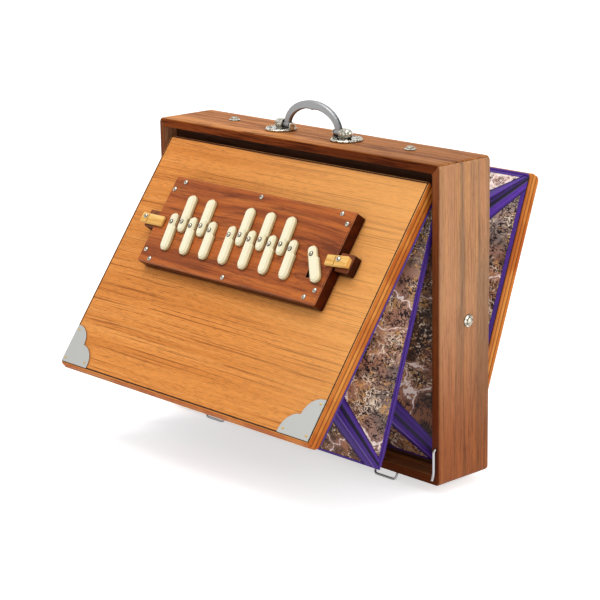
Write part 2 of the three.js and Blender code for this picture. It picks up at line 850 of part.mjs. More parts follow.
function addBellows(root) {
  const front = {
    towards: -1,
    sideMitre: frontBoardHeight - frontSideMitre,
    sideShare: frontSideMitreShare,
    endMitre: frontEndMitre,
    endShare: frontEndMitreShare,
  };
  const top = frontHingeZ - gap;
  const lifted = (lift, angle) => ({
    y: lift / Math.cos(angle) - hingeY,
    z: top,
    angle,
    length: foldLength,
  });
  const railLength = top - wall - innerPleatFloorGap;
  const railEdge = { y: railFrontY - edgeLift, z: top, angle: 0, length: railLength };
  const foldBack = lifted(foldOffset + bindingLift, foldAngle);
  const foldFront = lifted(foldOffset - bindingLift, foldAngle);
  const boardEdge = lifted(edgeLift, frontOpen);
  const inner = pleat({ first: railEdge, second: foldBack, ...front });
  const outer = pleat({ first: foldFront, second: boardEdge, ...front });
  add(root, "front_pleat_inner", inner, marbledPaper);
  add(root, "front_pleat_outer", outer, marbledPaper);

  const low = rearHingeZ + gap;
  const length = rearBoardHeight - pleatInset;
  const rear = pleat({
    first: { y: partitionThickness + edgeLift, z: low, angle: 0, length },
    second: { y: hingeY - edgeLift / Math.cos(rearOpen), z: low, angle: rearOpen, length },
    towards: 1,
    sideMitre: rearBoardHeight - rearSideMitre,
    sideShare: rearSideMitreShare,
    endMitre: rearEndMitre,
    endShare: rearEndMitreShare,
  });
  add(root, "rear_pleat", rear, marbledPaper);

  const binding = new THREE.Group();
  binding.position.set(0, -hingeY, frontHingeZ);
  binding.rotation.x = -foldAngle;
  root.add(binding);
  add(binding, "fold_binding", foldBinding(), purpleLeather);
}

// The leather-bound fold between the two front pleats: a flat frame of three legs, open at the hinge.
// It lies a little inside the plane of the hinge, so that it comes to rest behind the closed board.
function foldBinding() {
  const half = boardWidth / 2;
  const inner = half - bindingWidth;
  const face = bindingThickness / 2;
  const low = -frontBoardHeight;
  const whole = block(-half, half, -face, face, low, -pleatStart);
  const window = block(-inner, inner, -face - overrun, face + overrun, low + bindingWidth, overrun);
  return cut(whole, window).translate(0, foldOffset, 0);
}

// The outline of a key about its pivot: a narrow round pivot end, a step on the right and a full round
// free end. The free end points down on a lower key and up on an upper one.
function keyOutline(inset, up) {
  const full = keyWidth / 2 - inset;
  const narrow = (keyWidth - keyNotch) / 2 - inset;
  const pivotEnd = keyPivotInset - inset;
  const freeEnd = keyPivotInset - keyLength + inset;
  const shift = -keyNotch / 2;
  const step = keyPivotInset - keyNotchLength - inset / 2;
  const outline = [
    new THREE.Vector2(full, step - keyNotch),
    new THREE.Vector2(narrow + shift, step),
    ...arcPoints(shift, pivotEnd - narrow, narrow, 0, Math.PI),
    ...arcPoints(0, freeEnd + full, full, Math.PI, Math.PI),
  ];
  return up ? outline.map((p) => new THREE.Vector2(p.x, -p.y)).reverse() : outline;
}

// Every key's name, the place of its pivot (x, and drop below the board's top edge) and its direction.
function keyPlaces() {
  const places = [];
  for (let i = 0; i < lowerKeyCount; i += 1) {
    const x = keyRowStart + i * keyPitch;
    places.push({ x, drop: lowerPivotDrop, up: false });
    if (upperKeyAfter.includes(i)) {
      places.push({ x: x + keyPitch / 2, drop: upperPivotDrop, up: true });
    }
  }
  places.forEach((place, i) => {
    place.name = "key_" + String(i + 1).padStart(2, "0");
    place.open = i === places.length - 1;
  });
  return places;
}

// A pocket or plate centred under a key's free half, square to the board.
function underKey({ x, drop, up }, width, length, y0, y1) {
  const side = up ? 1 : -1;
  const piece = block(-width / 2, width / 2, y0, y1, -length / 2, length / 2);
  piece.translate(0, 0, side * slotReach);
  piece.rotateY(-keyLean);
  return piece.translate(x, 0, -drop);
}

// A board of the front or rear bellows, its inner face in y = 0 and its hinge edge at z = 0. Beads are
// moulded round its edges, and its free edge is crowned as well.
function boardSolid(height, towards) {
  const layers = [];
  const last = beadCount * beadSteps;
  for (let step = 0; step <= last; step += 1) {
    const depth = step / last;
    const bead = beadBulge * Math.abs(Math.sin(Math.PI * beadCount * depth));
    const crown = freeEdgeCrown * Math.sin(Math.PI * depth);
    const top = bead - beadBulge;
    const bottom = -height - bead - crown;
    const outline = roundedOutline(
      boardWidth + 2 * (bead - beadBulge),
      top - bottom,
      boardCornerRadius,
      0,
      boardCornerSteps,
    );
    const middle = (top + bottom) / 2;
    const placed = outline.map((p) => new THREE.Vector2(p.x, p.y + middle));
    layers.push({ outline: placed, y: -depth * boardThickness });
  }
  const board = stack(layers);
  return towards < 0 ? board : board.rotateX(Math.PI);
}

// A turn button: a thin bar with a kerf across it, on a foot that reaches down to its latch block.
function turnButton({ side, length, outerReach }) {
  const centre = side * (outerReach - length / 2);
  const ordered = (a, b) => [side * a, side * b].sort((p, q) => p - q);
  const outline = (inset) =>
    roundedOutline(length, buttonWidth, plateCornerRadius, inset).map(
      (p) => new THREE.Vector2(p.x + centre, p.y - buttonPivotRise),
    );
  const half = buttonWidth / 2;
  const foot = block(
    ...ordered(-buttonFootReach, outerReach - buttonBevel),
    -buttonThickness / 2,
    plateThickness - blockThickness,
    -half - buttonPivotRise + buttonBevel,
    half - buttonPivotRise - buttonBevel,
  );
  const kerf = block(
    ...ordered(-buttonKerfReach, buttonKerf - buttonKerfReach),
    -buttonThickness - overrun,
    buttonKerf - buttonThickness,
    -buttonWidth,
    buttonWidth,
  );
  return cut(join(bevelled(outline, buttonThickness, buttonBevel), foot), kerf);
}

function addFrontBoard(root) {
  const board = new THREE.Group();
  board.position.set(0, -hingeY, frontHingeZ);
  board.rotation.x = -frontOpen;
  root.add(board);

  const keys = keyPlaces();
  const channels = keys.map((key) =>
    underKey(key, slotWidth, slotLength, -boardThickness - overrun, overrun),
  );
  add(board, "front_board", cut(boardSolid(frontBoardHeight, -1), ...channels), teak);

  const face = -boardThickness - glueLine;
  const plateY = face - plateThickness;
  const plateOutline = (inset) => roundedOutline(plateWidth, plateHeight, plateCornerRadius, inset);
  const blank = bevelled(plateOutline, plateThickness, plateBevel);
  blank.translate(0, face, -plateTop - plateHeight / 2);
  const slots = keys.map((key) =>
    underKey(key, slotWidth, slotLength, plateY - overrun, face + overrun),
  );
  add(board, "keyboard_plate", cut(blank, ...slots), rosewood);

  for (const { name, x, drop, up, open } of keys) {
    const outlineOf = (inset) => keyOutline(inset, up);
    const key = add(board, name, bevelled(outlineOf, keyThickness, keyBevel), ivory);
    key.position.set(x, plateY - gap, -drop);
    key.rotation.y = -keyLean - (open ? keySwing : 0);
  }

  for (const side of [-1, 1]) {
    const suffix = side < 0 ? "left" : "right";
    const blockX = side * (plateWidth / 2 + gap + blockWidth / 2);
    const blockOutline = (inset) => roundedOutline(blockWidth, blockHeight, plateCornerRadius, inset);
    const latch = add(
      board,
      "turn_block_" + suffix,
      bevelled(blockOutline, blockThickness, blockBevel),
      darkWalnut,
    );
    latch.position.set(blockX, face, -blockTop - blockHeight / 2);

    const shape = side < 0 ? leftButton : rightButton;
    const button = add(board, "turn_button_" + suffix, turnButton(shape), paleWood);
    button.position.set(side * shape.pivotX, plateY - gap, -shape.drop);
    button.rotation.y = -shape.lean;

    const plate = add(board, "corner_plate_" + suffix, cornerPlate(side), nickel);
    const plateX = boardWidth / 2 - beadBulge - cornerPlateInset;
    plate.position.set(side * plateX, face, cornerPlateInset - frontBoardHeight);
  }
  add(board, "reed_board", reedBoard(keys), innerWood);
}

// A corner plate whose outline has two round lobes that meet in a cusp on the diagonal.
function cornerPlate(side) {
  const radius = cornerLobeShare * cornerPlateSize;
  const centre = new THREE.Vector2(cornerPlateSize - radius, cornerLobeRiseShare * cornerPlateSize);
  const apart = centre.x - centre.y;
  const cusp = (centre.x + centre.y + Math.sqrt(2 * radius ** 2 - apart ** 2)) / 2;
  const cuspAngle = Math.atan2(cusp - centre.y, cusp - centre.x);
  const lobe = arcPoints(centre.x, centre.y, radius, 0, cuspAngle);
  const otherLobe = lobe.slice(0, -1).map((p) => new THREE.Vector2(p.y, p.x));
  const ends = [new THREE.Vector2(0, 0), new THREE.Vector2(cornerPlateSize, 0)];
  const outline = [...ends, ...lobe, ...otherLobe.reverse(), new THREE.Vector2(0, cornerPlateSize)];
  const placed = outline.map((p) => new THREE.Vector2(-side * p.x, p.y));
  if (THREE.ShapeUtils.isClockWise(placed)) placed.reverse();
  return stack([
    { outline: placed, y: 0 },
    { outline: placed, y: -cornerPlateThickness },
  ]);
}

// The reed board: a wooden block with one cell behind each tone slot, and over each cell a reed plate
// with its tongue, which is held at one end only.
function reedBoard(keys) {
  const back = glueLine;
  const front = back + reedBlockThickness;
  const middle = (lowerPivotDrop + upperPivotDrop) / 2;
  const low = -middle - reedBlockHeight / 2;
  const high = -middle + reedBlockHeight / 2;
  const half = reedBlockWidth / 2;
  let solid = toSolid(block(-half, half, back, front, low, high));
  const plateBack = front + reedPlateThickness;
  const window = reedPlateLength - 2 * reedFrame - reedCellWidth;
  const tongueWidth = reedCellWidth - 4 * tongueGap;
  const shift = 2 * tongueGap;
  for (const key of keys) {
    const cell = underKey(key, reedCellWidth, reedCellLength, back - overrun, front + overrun);
    const sunk = front - tongueThickness;
    const plate = underKey(key, reedPlateWidth, reedPlateLength, sunk, plateBack);
    const width = tongueWidth + 2 * tongueGap;
    const opening = underKey(key, width, window, front - overrun, plateBack + overrun);
    const tongue = underKey(key, tongueWidth, window, front, front + tongueThickness);
    tongue.translate(-shift * Math.sin(keyLean), 0, shift * Math.cos(keyLean));
    const withCell = solid.subtract(toSolid(cell)).add(toSolid(plate));
    solid = withCell.subtract(toSolid(opening)).add(toSolid(tongue));
  }
  return toGeometry(solid);
}

function addRearBoard(root) {
  const board = new THREE.Group();
  board.position.set(0, hingeY, rearHingeZ);
  board.rotation.x = -rearOpen;
  root.add(board);
  const inlets = airHoles(0, inletHeight, 0, boardThickness);
  add(board, "rear_board", cut(boardSolid(rearBoardHeight, 1), ...inlets), teak);
  add(board, "inlet_flap", flapOver(0, inletHeight), paleLeather);
}

// A leather flap in front of a row of air holes in a surface at y = 0. It is glued along its top edge.
function flapOver(x, z) {
  const half = flapWidth / 2;
  const rise = flapHeight / 2;
  return block(x - half, x + half, -gap - flapThickness, -gap, z - rise, z + rise);
}

function addFlaps(root) {
  for (const side of [-1, 1]) {
    const name = side < 0 ? "valve_flap_left" : "valve_flap_right";
    add(root, name, flapOver((side * flapSpacing) / 2, flapHoleZ), paleLeather);
  }
}

// A leather strip that closes the bellows along a hinge: one leg lies against the hinge rail and the
// other on the board's inner face. Its section is drawn from the hinge line, inwards and away from it.
function hingeStrip(open, towards, railReach) {
  const sine = Math.sin(open);
  const cosine = Math.cos(open);
  const lift = gap + stripThickness;
  const onBoard = (off) => {
    const along = off * cosine - stripReach * sine;
    return new THREE.Vector2(along, off * sine + stripReach * cosine);
  };
  const bend = (off) => new THREE.Vector2((off - off * sine) / cosine, off);
  const section = [
    bend(gap),
    new THREE.Vector2(railReach, gap),
    new THREE.Vector2(railReach, lift),
    bend(lift),
    onBoard(lift),
    onBoard(gap),
  ];
  const outline = section.map((p) => new THREE.Vector2(-towards * p.x, towards * p.y));
  if (THREE.ShapeUtils.isClockWise(outline)) outline.reverse();
  const half = boardWidth / 2 - stripInset;
  const strip = stack([
    { outline, y: half },
    { outline, y: -half },
  ]);
  return strip.rotateZ(Math.PI / 2);
}

// A V-shaped wire spring with a coil near the hinge. It lies in a plane square to the hinge, and its
// coil and its two feet are given by their y and z.
function vSpring(x, coil, footOne, footTwo) {
  const r = springCoilRadius;
  const tangent = (foot, turn) => {
    const offset = new THREE.Vector2(foot.x - coil.x, foot.y - coil.y);
    return Math.atan2(offset.y, offset.x) + turn * Math.acos(r / offset.length());
  };
  const on = (angle, drift) => {
    const around = new THREE.Vector2(r, 0).rotateAround(new THREE.Vector2(), angle).add(coil);
    return point(x + drift, around.x, around.y);
  };
  const fullTurn = 2 * Math.PI;
  const start = tangent(footOne, 1);
  let sweep = tangent(footTwo, -1) - start;
  while (sweep < springTurns * fullTurn) sweep += fullTurn;
  const drift = (springWire + 2 * gap) * (sweep / fullTurn);
  const steps = wireSides * springTurns;
  const points = [point(x - drift / 2, footOne.x, footOne.y)];
  for (let i = 0; i <= steps; i += 1) {
    const t = i / steps;
    points.push(on(start + sweep * t, drift * t - drift / 2));
  }
  points.push(point(x + drift / 2, footTwo.x, footTwo.y));
  return bentWire(points, springWire);
}

// The springs and hinge strips of both bellows.
function addSpringsAndStrips(root) {
  const lift = springWire / 2 + gap;
  const run = springCoilDrop + springLeg;
  const frontCoil = new THREE.Vector2(-hingeY / 2, frontHingeZ - springCoilDrop);
  const onPartition = new THREE.Vector2(-lift, frontCoil.y - springLeg);
  const onBoard = new THREE.Vector2(
    -hingeY - run * Math.sin(frontOpen) + lift * Math.cos(frontOpen),
    frontHingeZ - run * Math.cos(frontOpen) - lift * Math.sin(frontOpen),
  );
  const railX = innerHalfWidth - bellowsRailWidth;
  const springX = THREE.MathUtils.lerp(reedBlockWidth / 2, railX, springPlaceShare);
  for (const side of [-1, 1]) {
    const name = side < 0 ? "front_spring_left" : "front_spring_right";
    add(root, name, vSpring(side * springX, frontCoil, onPartition, onBoard), steel);
  }
  const rearCoil = new THREE.Vector2((partitionThickness + hingeY) / 2, rearHingeZ + springCoilDrop);
  const behindPartition = new THREE.Vector2(partitionThickness + lift, rearCoil.y + springLeg);
  const onRearBoard = new THREE.Vector2(
    hingeY + run * Math.sin(rearOpen) - lift * Math.cos(rearOpen),
    rearHingeZ + run * Math.cos(rearOpen) + lift * Math.sin(rearOpen),
  );
  add(root, "rear_spring", vSpring(0, rearCoil, behindPartition, onRearBoard), steel);

  const onFrontRail = hingeStrip(frontOpen, -1, stripReach);
  const frontStrip = add(root, "front_hinge_strip", onFrontRail, purpleLeather);
  frontStrip.position.set(0, -hingeY, frontHingeZ);
  const onRearRail = hingeStrip(rearOpen, 1, hingeY - partitionThickness - gap);
  const rearStrip = add(root, "rear_hinge_strip", onRearRail, purpleLeather);
  rearStrip.position.set(0, hingeY, rearHingeZ);
}

addCase(instrument);
addPartition(instrument);
addScrews(instrument);
addFeet(instrument);
addCatches(instrument);
addHandle(instrument);
addBellows(instrument);
addFlaps(instrument);
addSpringsAndStrips(instrument);
addFrontBoard(instrument);
addRearBoard(instrument);

export default instrument;
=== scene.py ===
# %% [markdown]
# # A shruti box, dressed
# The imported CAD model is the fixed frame: the wooden case, two boards, thirteen keys, wires and
# screws. This lesson gives each of them a finish and builds what CAD leaves to the looks: the folded
# bellows of paper and leather, the small screws and nails, the leather flaps and the spring wires.

import random
from math import acos, copysign, cos, degrees, pi, radians, sin, sqrt, tan

import bmesh
import bpy
from mathutils import Matrix, Vector


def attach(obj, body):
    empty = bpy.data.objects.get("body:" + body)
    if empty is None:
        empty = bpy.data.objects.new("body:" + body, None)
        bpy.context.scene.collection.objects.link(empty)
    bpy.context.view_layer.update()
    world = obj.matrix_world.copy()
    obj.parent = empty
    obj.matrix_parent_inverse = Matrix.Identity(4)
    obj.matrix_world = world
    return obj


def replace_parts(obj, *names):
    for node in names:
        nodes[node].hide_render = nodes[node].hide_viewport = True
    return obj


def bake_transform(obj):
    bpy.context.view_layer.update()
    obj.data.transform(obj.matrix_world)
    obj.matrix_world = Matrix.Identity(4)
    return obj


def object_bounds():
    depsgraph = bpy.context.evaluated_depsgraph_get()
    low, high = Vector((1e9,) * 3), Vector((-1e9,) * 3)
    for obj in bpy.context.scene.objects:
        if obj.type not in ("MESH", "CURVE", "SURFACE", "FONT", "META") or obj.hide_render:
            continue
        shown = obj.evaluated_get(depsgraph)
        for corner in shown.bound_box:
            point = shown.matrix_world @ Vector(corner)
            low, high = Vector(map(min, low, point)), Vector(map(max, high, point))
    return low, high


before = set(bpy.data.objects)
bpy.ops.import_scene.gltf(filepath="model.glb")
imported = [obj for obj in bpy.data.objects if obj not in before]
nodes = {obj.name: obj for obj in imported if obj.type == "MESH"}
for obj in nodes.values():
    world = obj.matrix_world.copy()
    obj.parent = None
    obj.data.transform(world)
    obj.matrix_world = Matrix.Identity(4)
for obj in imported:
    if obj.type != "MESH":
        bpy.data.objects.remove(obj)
cad_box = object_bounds()
MM = 0.001


def in_scene(name, data):
    made = bpy.data.objects.new(name, data)
    bpy.context.scene.collection.objects.link(made)
    return made


print(len(nodes), "nodes,", [round(side / MM, 1) for side in cad_box[1] - cad_box[0]], "mm")

# %% [markdown]
# ## The camera
# A product photographer stands a good two metres away with a long lens, so that the box keeps its
# straight lines. The place and angles are those from which the photograph shows the box. A camera
# could be aimed with a constraint, but fixed numbers keep the picture the same on every run.

# %% Camera
camera_place = Vector((1.4146, -1.3222, 0.648))
azimuth, elevation, roll = radians(47.45), radians(14.68), radians(-0.99)

back = Vector((sin(azimuth) * cos(elevation), -cos(azimuth) * cos(elevation), sin(elevation)))
level_right = Vector((cos(azimuth), sin(azimuth), 0))
right = level_right * cos(roll) + back.cross(level_right) * sin(roll)
looking = Matrix((right, back.cross(right), back)).transposed().to_4x4()
camera = in_scene("camera", bpy.data.cameras.new("camera"))
camera.matrix_world = Matrix.Translation(camera_place) @ looking
camera.data.lens = 118.36
camera.data.sensor_width = 36
camera.data.clip_start = 0.1
camera.data.clip_end = 60
bpy.context.scene.camera = camera
bpy.context.scene.view_settings.view_transform = "Standard"
print("camera", round(camera_place.length, 2), "m from the box")

# %% [markdown]
# ## Building shaders by name
# Every finish here is a small network of nodes. A few helpers keep each network short: one adds a
# node, one fills its inputs, and one opens a node group, which is an effect that several finishes
# share. A node joins the network of the sockets it is given, so most calls needn't name it.

# %% Helpers for nodes


def filled(made, inputs):
    """Sets a node's inputs. Each may be another node's output, which is linked, or a plain value."""
    for name, value in inputs.items():
        if isinstance(value, bpy.types.NodeSocket):
            made.id_data.links.new(value, made.inputs[name])
        else:
            made.inputs[name].default_value = value
    return made


def node(kind, inputs, **settings):
    tree = next(value.id_data for value in inputs.values() if isinstance(value, bpy.types.NodeSocket))
    made = tree.nodes.new("ShaderNode" + kind)
    for name, value in settings.items():
        setattr(made, name, value)
    return filled(made, inputs)


def source(tree, kind, output):
    """A node without inputs. It tells about the spot on the part, or about the ray that meets it."""
    return tree.nodes.new("ShaderNode" + kind).outputs[output]


def link(value, socket):
    value.id_data.links.new(value, socket)


def group(title, inputs, outputs):
    """A node group with named sockets: inputs maps a name to its default value."""
    tree = bpy.data.node_groups.new(title, "ShaderNodeTree")
    for name, value in inputs.items():
        kind = "Vector" if value is None else "Float" if isinstance(value, float) else "Color"
        socket = tree.interface.new_socket(name, in_out="INPUT", socket_type="NodeSocket" + kind)
        if value is not None:
            socket.default_value = value
    kinds = {"Colour": "Color", "Normal": "Vector"}
    for name in outputs:
        kind = kinds.get(name, "Float")
        tree.interface.new_socket(name, in_out="OUTPUT", socket_type="NodeSocket" + kind)
    return tree, tree.nodes.new("NodeGroupInput").outputs, tree.nodes.new("NodeGroupOutput").inputs


print("node helpers ready")

# %% [markdown]
# ## Sums, masks and colours
# Wood, leather and paper are all read the same way: a noise gives a value, a ramp cuts a soft mask
# out of it, and the mask mixes two colours. Image textures would do it too, but a pattern made by
# numbers has no size limit and no seam.

# %% Helpers for masks and colours


def math_node(operation, first, second):
    return node("Math", {0: first, 1: second}, operation=operation).outputs[0]


def times(first, second):
    return math_node("MULTIPLY", first, second)


def larger(first, second):
    return math_node("MAXIMUM", first, second)


def added(value, factor, base):
    """A value times a factor, added to a base."""
    return node("Math", {0: value, 1: factor, 2: base}, operation="MULTIPLY_ADD").outputs[0]


def ramp(value, low, high):
    """0 at low, 1 at high, smooth between; high may be the smaller of the two."""
    inputs = {"Value": value, "From Min": low, "From Max": high}
    return node("MapRange", inputs, interpolation_type="SMOOTHSTEP").outputs["Result"]


def mix(share, first, second, blend_type="MIX"):
    return node("Mix", {0: share, 6: first, 7: second}, data_type="RGBA", blend_type=blend_type).outputs[2]


def noise(vector, scale, detail=2.0, roughness=0.5, distortion=0.0):
    inputs = {"Vector": vector, "Scale": scale, "Detail": detail, "Roughness": roughness}
    return node("TexNoise", {**inputs, "Distortion": distortion}).outputs[0]


def stretched(vector, scale, shift=(0, 0, 0)):
    return node("Mapping", {"Vector": vector, "Scale": scale, "Location": shift}).outputs[0]


def fibres(vector, scale, shift=(0, 0, 0), detail=2.0, roughness=0.5):
    """A noise drawn out into fibres; the shift keeps two sets of fibres apart."""
    return noise(stretched(vector, scale, shift), 1.0, detail, roughness)


def vector_sum(first, second):
    return node("VectorMath", {0: first, 1: second}, operation="ADD").outputs[0]


def scaled(vector, factor):
    return node("VectorMath", {0: vector, "Scale": factor}, operation="SCALE").outputs[0]


def dot(first, second):
    return node("VectorMath", {0: first, 1: second}, operation="DOT_PRODUCT").outputs["Value"]


def axis(vector, letter):
    return node("SeparateXYZ", {0: vector}).outputs[letter]


def colour(red, green, blue):
    """A colour as a paint chart gives it, 0 to 255, turned into the linear light that nodes use."""
    shares = [value / 255 for value in (red, green, blue)]
    return (*[s / 12.92 if s < 0.04045 else ((s + 0.055) / 1.055) ** 2.4 for s in shares], 1)


def tinted(shown, *tint):
    """What is shown, multiplied by that colour."""
    return mix(1.0, shown, colour(*tint), "MULTIPLY")


print("mid grey in linear light:", round(colour(128, 128, 128)[0], 3))

# %% [markdown]
# ## Wood grain
# A plank shows broad bands where the saw cuts the year rings, long thin dark lines, and short pores.
# The grain runs along the X of the vector that the group is given, so a board whose grain runs
# another way only turns its vector. Swirl and Waviness bend the bands as they bend near a knot.

# %% Wood grain
grain, given, result = group(
    "Wood grain",
    {
        "Vector": None,
        "Pale": colour(200, 150, 100),
        "Dark": colour(120, 70, 40),
        "Streak": colour(160, 110, 70),
        "Line": colour(70, 35, 20),
        "Stripes": 0.7,
        "Streaks": 0.4,
        "Lines": 0.5,
        "Pores": 0.4,
        "Fineness": 1.0,
        "Waviness": 0.3,
        "Swirl": 1.0,
        "Length": 1.0,
        "Thinness": 0.52,
    },
    ["Colour", "Height"],
)
turns = scaled(given["Vector"], given["Swirl"])
knots = (3, 9, 9)
bends = [times(fibres(turns, knots, shift), given["Waviness"]) for shift in ((0, 0, 0), (4, 2, 7))]
away = node("CombineXYZ", {"Y": bends[0], "Z": bends[1]}).outputs[0]
fine = scaled(vector_sum(given["Vector"], scaled(away, 0.09)), given["Fineness"])
bands = ramp(fibres(fine, (1.1, 62, 62), detail=3.0, roughness=0.6), 0.36, 0.66)
streaks = ramp(fibres(fine, (0.9, 95, 95), (3, 5, 2), roughness=0.6), 0.5, 0.66)
pores = ramp(fibres(fine, (45, 1300, 1300), roughness=0.6), 0.5, 0.72)
shorter = node("CombineXYZ", {"X": given["Length"], "Y": 1.0, "Z": 1.0}).outputs[0]
drawn_out = node("VectorMath", {0: fine, 1: shorter}, operation="MULTIPLY").outputs[0]
threads = fibres(drawn_out, (9, 370, 370), roughness=0.6)
gathered = ramp(fibres(drawn_out, (9, 60, 60), (1, 8, 3)), 0.34, 0.58)
line_top = math_node("ADD", given["Thinness"], 0.07)
lines = times(times(ramp(threads, given["Thinness"], line_top), gathered), given["Lines"])
tone = mix(times(bands, given["Stripes"]), given["Pale"], given["Dark"])
tone = mix(times(streaks, given["Streaks"]), tone, given["Streak"])
tone = mix(times(pores, given["Pores"]), tone, given["Line"])
link(mix(lines, tone, given["Line"]), result["Colour"])
link(math_node("SUBTRACT", 1.0, larger(lines, pores)), result["Height"])
print("wood grain:", len(grain.nodes), "nodes")

# %% [markdown]
# ## Worn edges
# Hands rub polish off the edges first. The Bevel node compares a rounded normal with the flat one, so
# the mask finds every edge of any shape by itself and nothing has to be painted. The rounded normal
# also takes the knife sharpness off the edges.

# %% Worn edges
# On the keys and the plate this mask also lays a painted highlight along the edges.
edges, given, result = group("Worn edges", {"Radius": 0.0008, "Break up": 120.0}, ["Mask", "Normal"])
rounded = node("Bevel", {"Radius": given["Radius"]}, samples=4).outputs[0]
turned = dot(rounded, source(edges, "NewGeometry", "Normal"))
patchy = noise(source(edges, "TexCoord", "Object"), given["Break up"], 4.0, 0.7)
sharp = ramp(math_node("SUBTRACT", 1.0, turned), 0.01, 0.16)
link(times(sharp, ramp(patchy, 0.3, 0.6)), result["Mask"])
link(rounded, result["Normal"])
print("worn edges:", len(edges.nodes), "nodes")

# %% [markdown]
# ## Dark hollows
# This mask paints shade where little light reaches: round screw heads, under the keys, in grooves and in
# the folds of the leather; on wood it also stands for dirt and on metal for tarnish. The ambient
# occlusion node measures how closed in a spot is, and the group turns that into a mask. Painting it by
# hand would have to be done again for every change of shape.

# %% Dark hollows
# Painted shade in hollows, with dirt on wood and tarnish on metal.
hollows, given, result = group("Dark hollows", {"Reach": 0.003, "Amount": 0.8}, ["Mask"])
open_share = node("AmbientOcclusion", {"Distance": given["Reach"]}, samples=6).outputs["AO"]
link(times(ramp(open_share, 0.95, 0.3), given["Amount"]), result["Mask"])
print("dark hollows:", len(hollows.nodes), "nodes")

# %% [markdown]
# ## Leather grain
# Bellows leather is thin sheep or goat skin with tiny pores and soft wrinkles. Cells give the pores,
# a noise gives the wrinkles, and one height carries both.

# %% Leather grain
hide, given, result = group("Leather grain", {"Vector": None, "Pores": 900.0}, ["Tone", "Height"])
inputs = {"Vector": given["Vector"], "Scale": given["Pores"]}
pore_cells = node("TexVoronoi", inputs, feature="SMOOTH_F1").outputs["Distance"]
wrinkles = noise(given["Vector"], 130.0, 4.0, 0.65, 0.6)
link(ramp(wrinkles, 0.3, 0.75), result["Tone"])
link(math_node("SUBTRACT", times(wrinkles, 1.4), pore_cells), result["Height"])
print("leather grain:", len(hide.nodes), "nodes")

# %% [markdown]
# ## Fine scratches
# Plated and polished metal is never even: polishing leaves hair lines along the part, and wiping
# leaves some across. Two long thin noises are multiplied, so both directions show in places.

# %% Fine scratches
sockets = {"Vector": None, "Fineness": 1.0}
scratches, given, result = group("Fine scratches", sockets, ["Roughness", "Height"])
finer = scaled(given["Vector"], given["Fineness"])
long_way = fibres(finer, (60, 2600, 2600), detail=3.0, roughness=0.6)
cross_way = fibres(finer, (1900, 90, 1900), detail=3.0, roughness=0.6)
both = times(long_way, cross_way)
link(times(noise(finer, 90.0, 3.0), both), result["Roughness"])
link(both, result["Height"])
print("fine scratches:", len(scratches.nodes), "nodes")

# %% [markdown]
# ## Dust
# A little dust lies on whatever faces up. It is kept faint here, because the box is new and polished.

# %% Dust
dust, given, result = group("Dust", {"Amount": 0.05}, ["Mask"])
lying = ramp(axis(source(dust, "NewGeometry", "Normal"), "Z"), 0.2, 1.0)
specks = ramp(noise(source(dust, "TexCoord", "Object"), 260.0, 5.0, 0.8), 0.45, 0.8)
link(times(times(lying, specks), given["Amount"]), result["Mask"])
print("dust:", len(dust.nodes), "nodes")

# %% [markdown]
# ## Opening a material
# A material keeps its own Principled shader and takes colour, roughness and bump from the groups.
# These helpers open one, put a group into it with the material's own values, and find the place on
# a piece. Every part stands at the origin of the box, so that place is also the place in the box.

# %% Helpers for materials


def material(title, roughness=0.5, **sockets):
    made = bpy.data.materials.new(title)
    made.use_nodes = True
    shader = made.node_tree.nodes["Principled BSDF"].inputs
    shader["Roughness"].default_value = roughness
    for name, value in sockets.items():
        shader[name.replace("_", " ")].default_value = value
    return made, made.node_tree, shader


def joined(shader, **sockets):
    """Links what was mixed to the sockets of the shader."""
    for name, value in sockets.items():
        link(value, shader[name.replace("_", " ")])


def placed(tree, effect, **inputs):
    """A node group put into a material, with that material's own values."""
    made = tree.nodes.new("ShaderNodeGroup")
    made.node_tree = effect
    return filled(made, inputs).outputs


def bump(height, strength, distance, normal=None):
    inputs = {"Height": height, "Strength": strength, "Distance": distance}
    if normal is not None:
        inputs["Normal"] = normal
    return node("Bump", inputs).outputs[0]


def place_on(tree, turn=(0, 0, 0)):
    """The place on the piece, turned so that its X runs with the grain."""
    return node("Mapping", {"Vector": source(tree, "TexCoord", "Object"), "Rotation": turn}).outputs[0]


def sheet_place(tree):
    """The place on a sheet of paper or leather as if it lay flat, and the key that the sheet carries."""
    made = tree.nodes.new("ShaderNodeAttribute")
    made.attribute_name = "sheet"
    stored = made.outputs["Vector"]
    return stretched(stored, (1, 1, 0)), axis(stored, "Z")


def looks_along(tree, direction, low, high):
    """1 where a face of the resting part looks along a direction, 0 where it looks elsewhere."""
    return ramp(dot(source(tree, "TexCoord", "Normal"), direction), low, high)


print("material helpers ready")

# %% [markdown]
# ## A wood finish
# All woods of the box are one recipe: grain, a coat of polish, rubbed edges, painted shade with some
# dirt in the hollows, and a little dust. What changes from part to part is the species, the way the
# grain runs, the tone of the worn edges, which on the plate also paints a highlight, and how dark the
# narrow faces are. shade is that last change, given as a small function; on some woods it paints
# light and shade as well.

# %% Wood finish
UPRIGHT = (0, radians(90), 0)


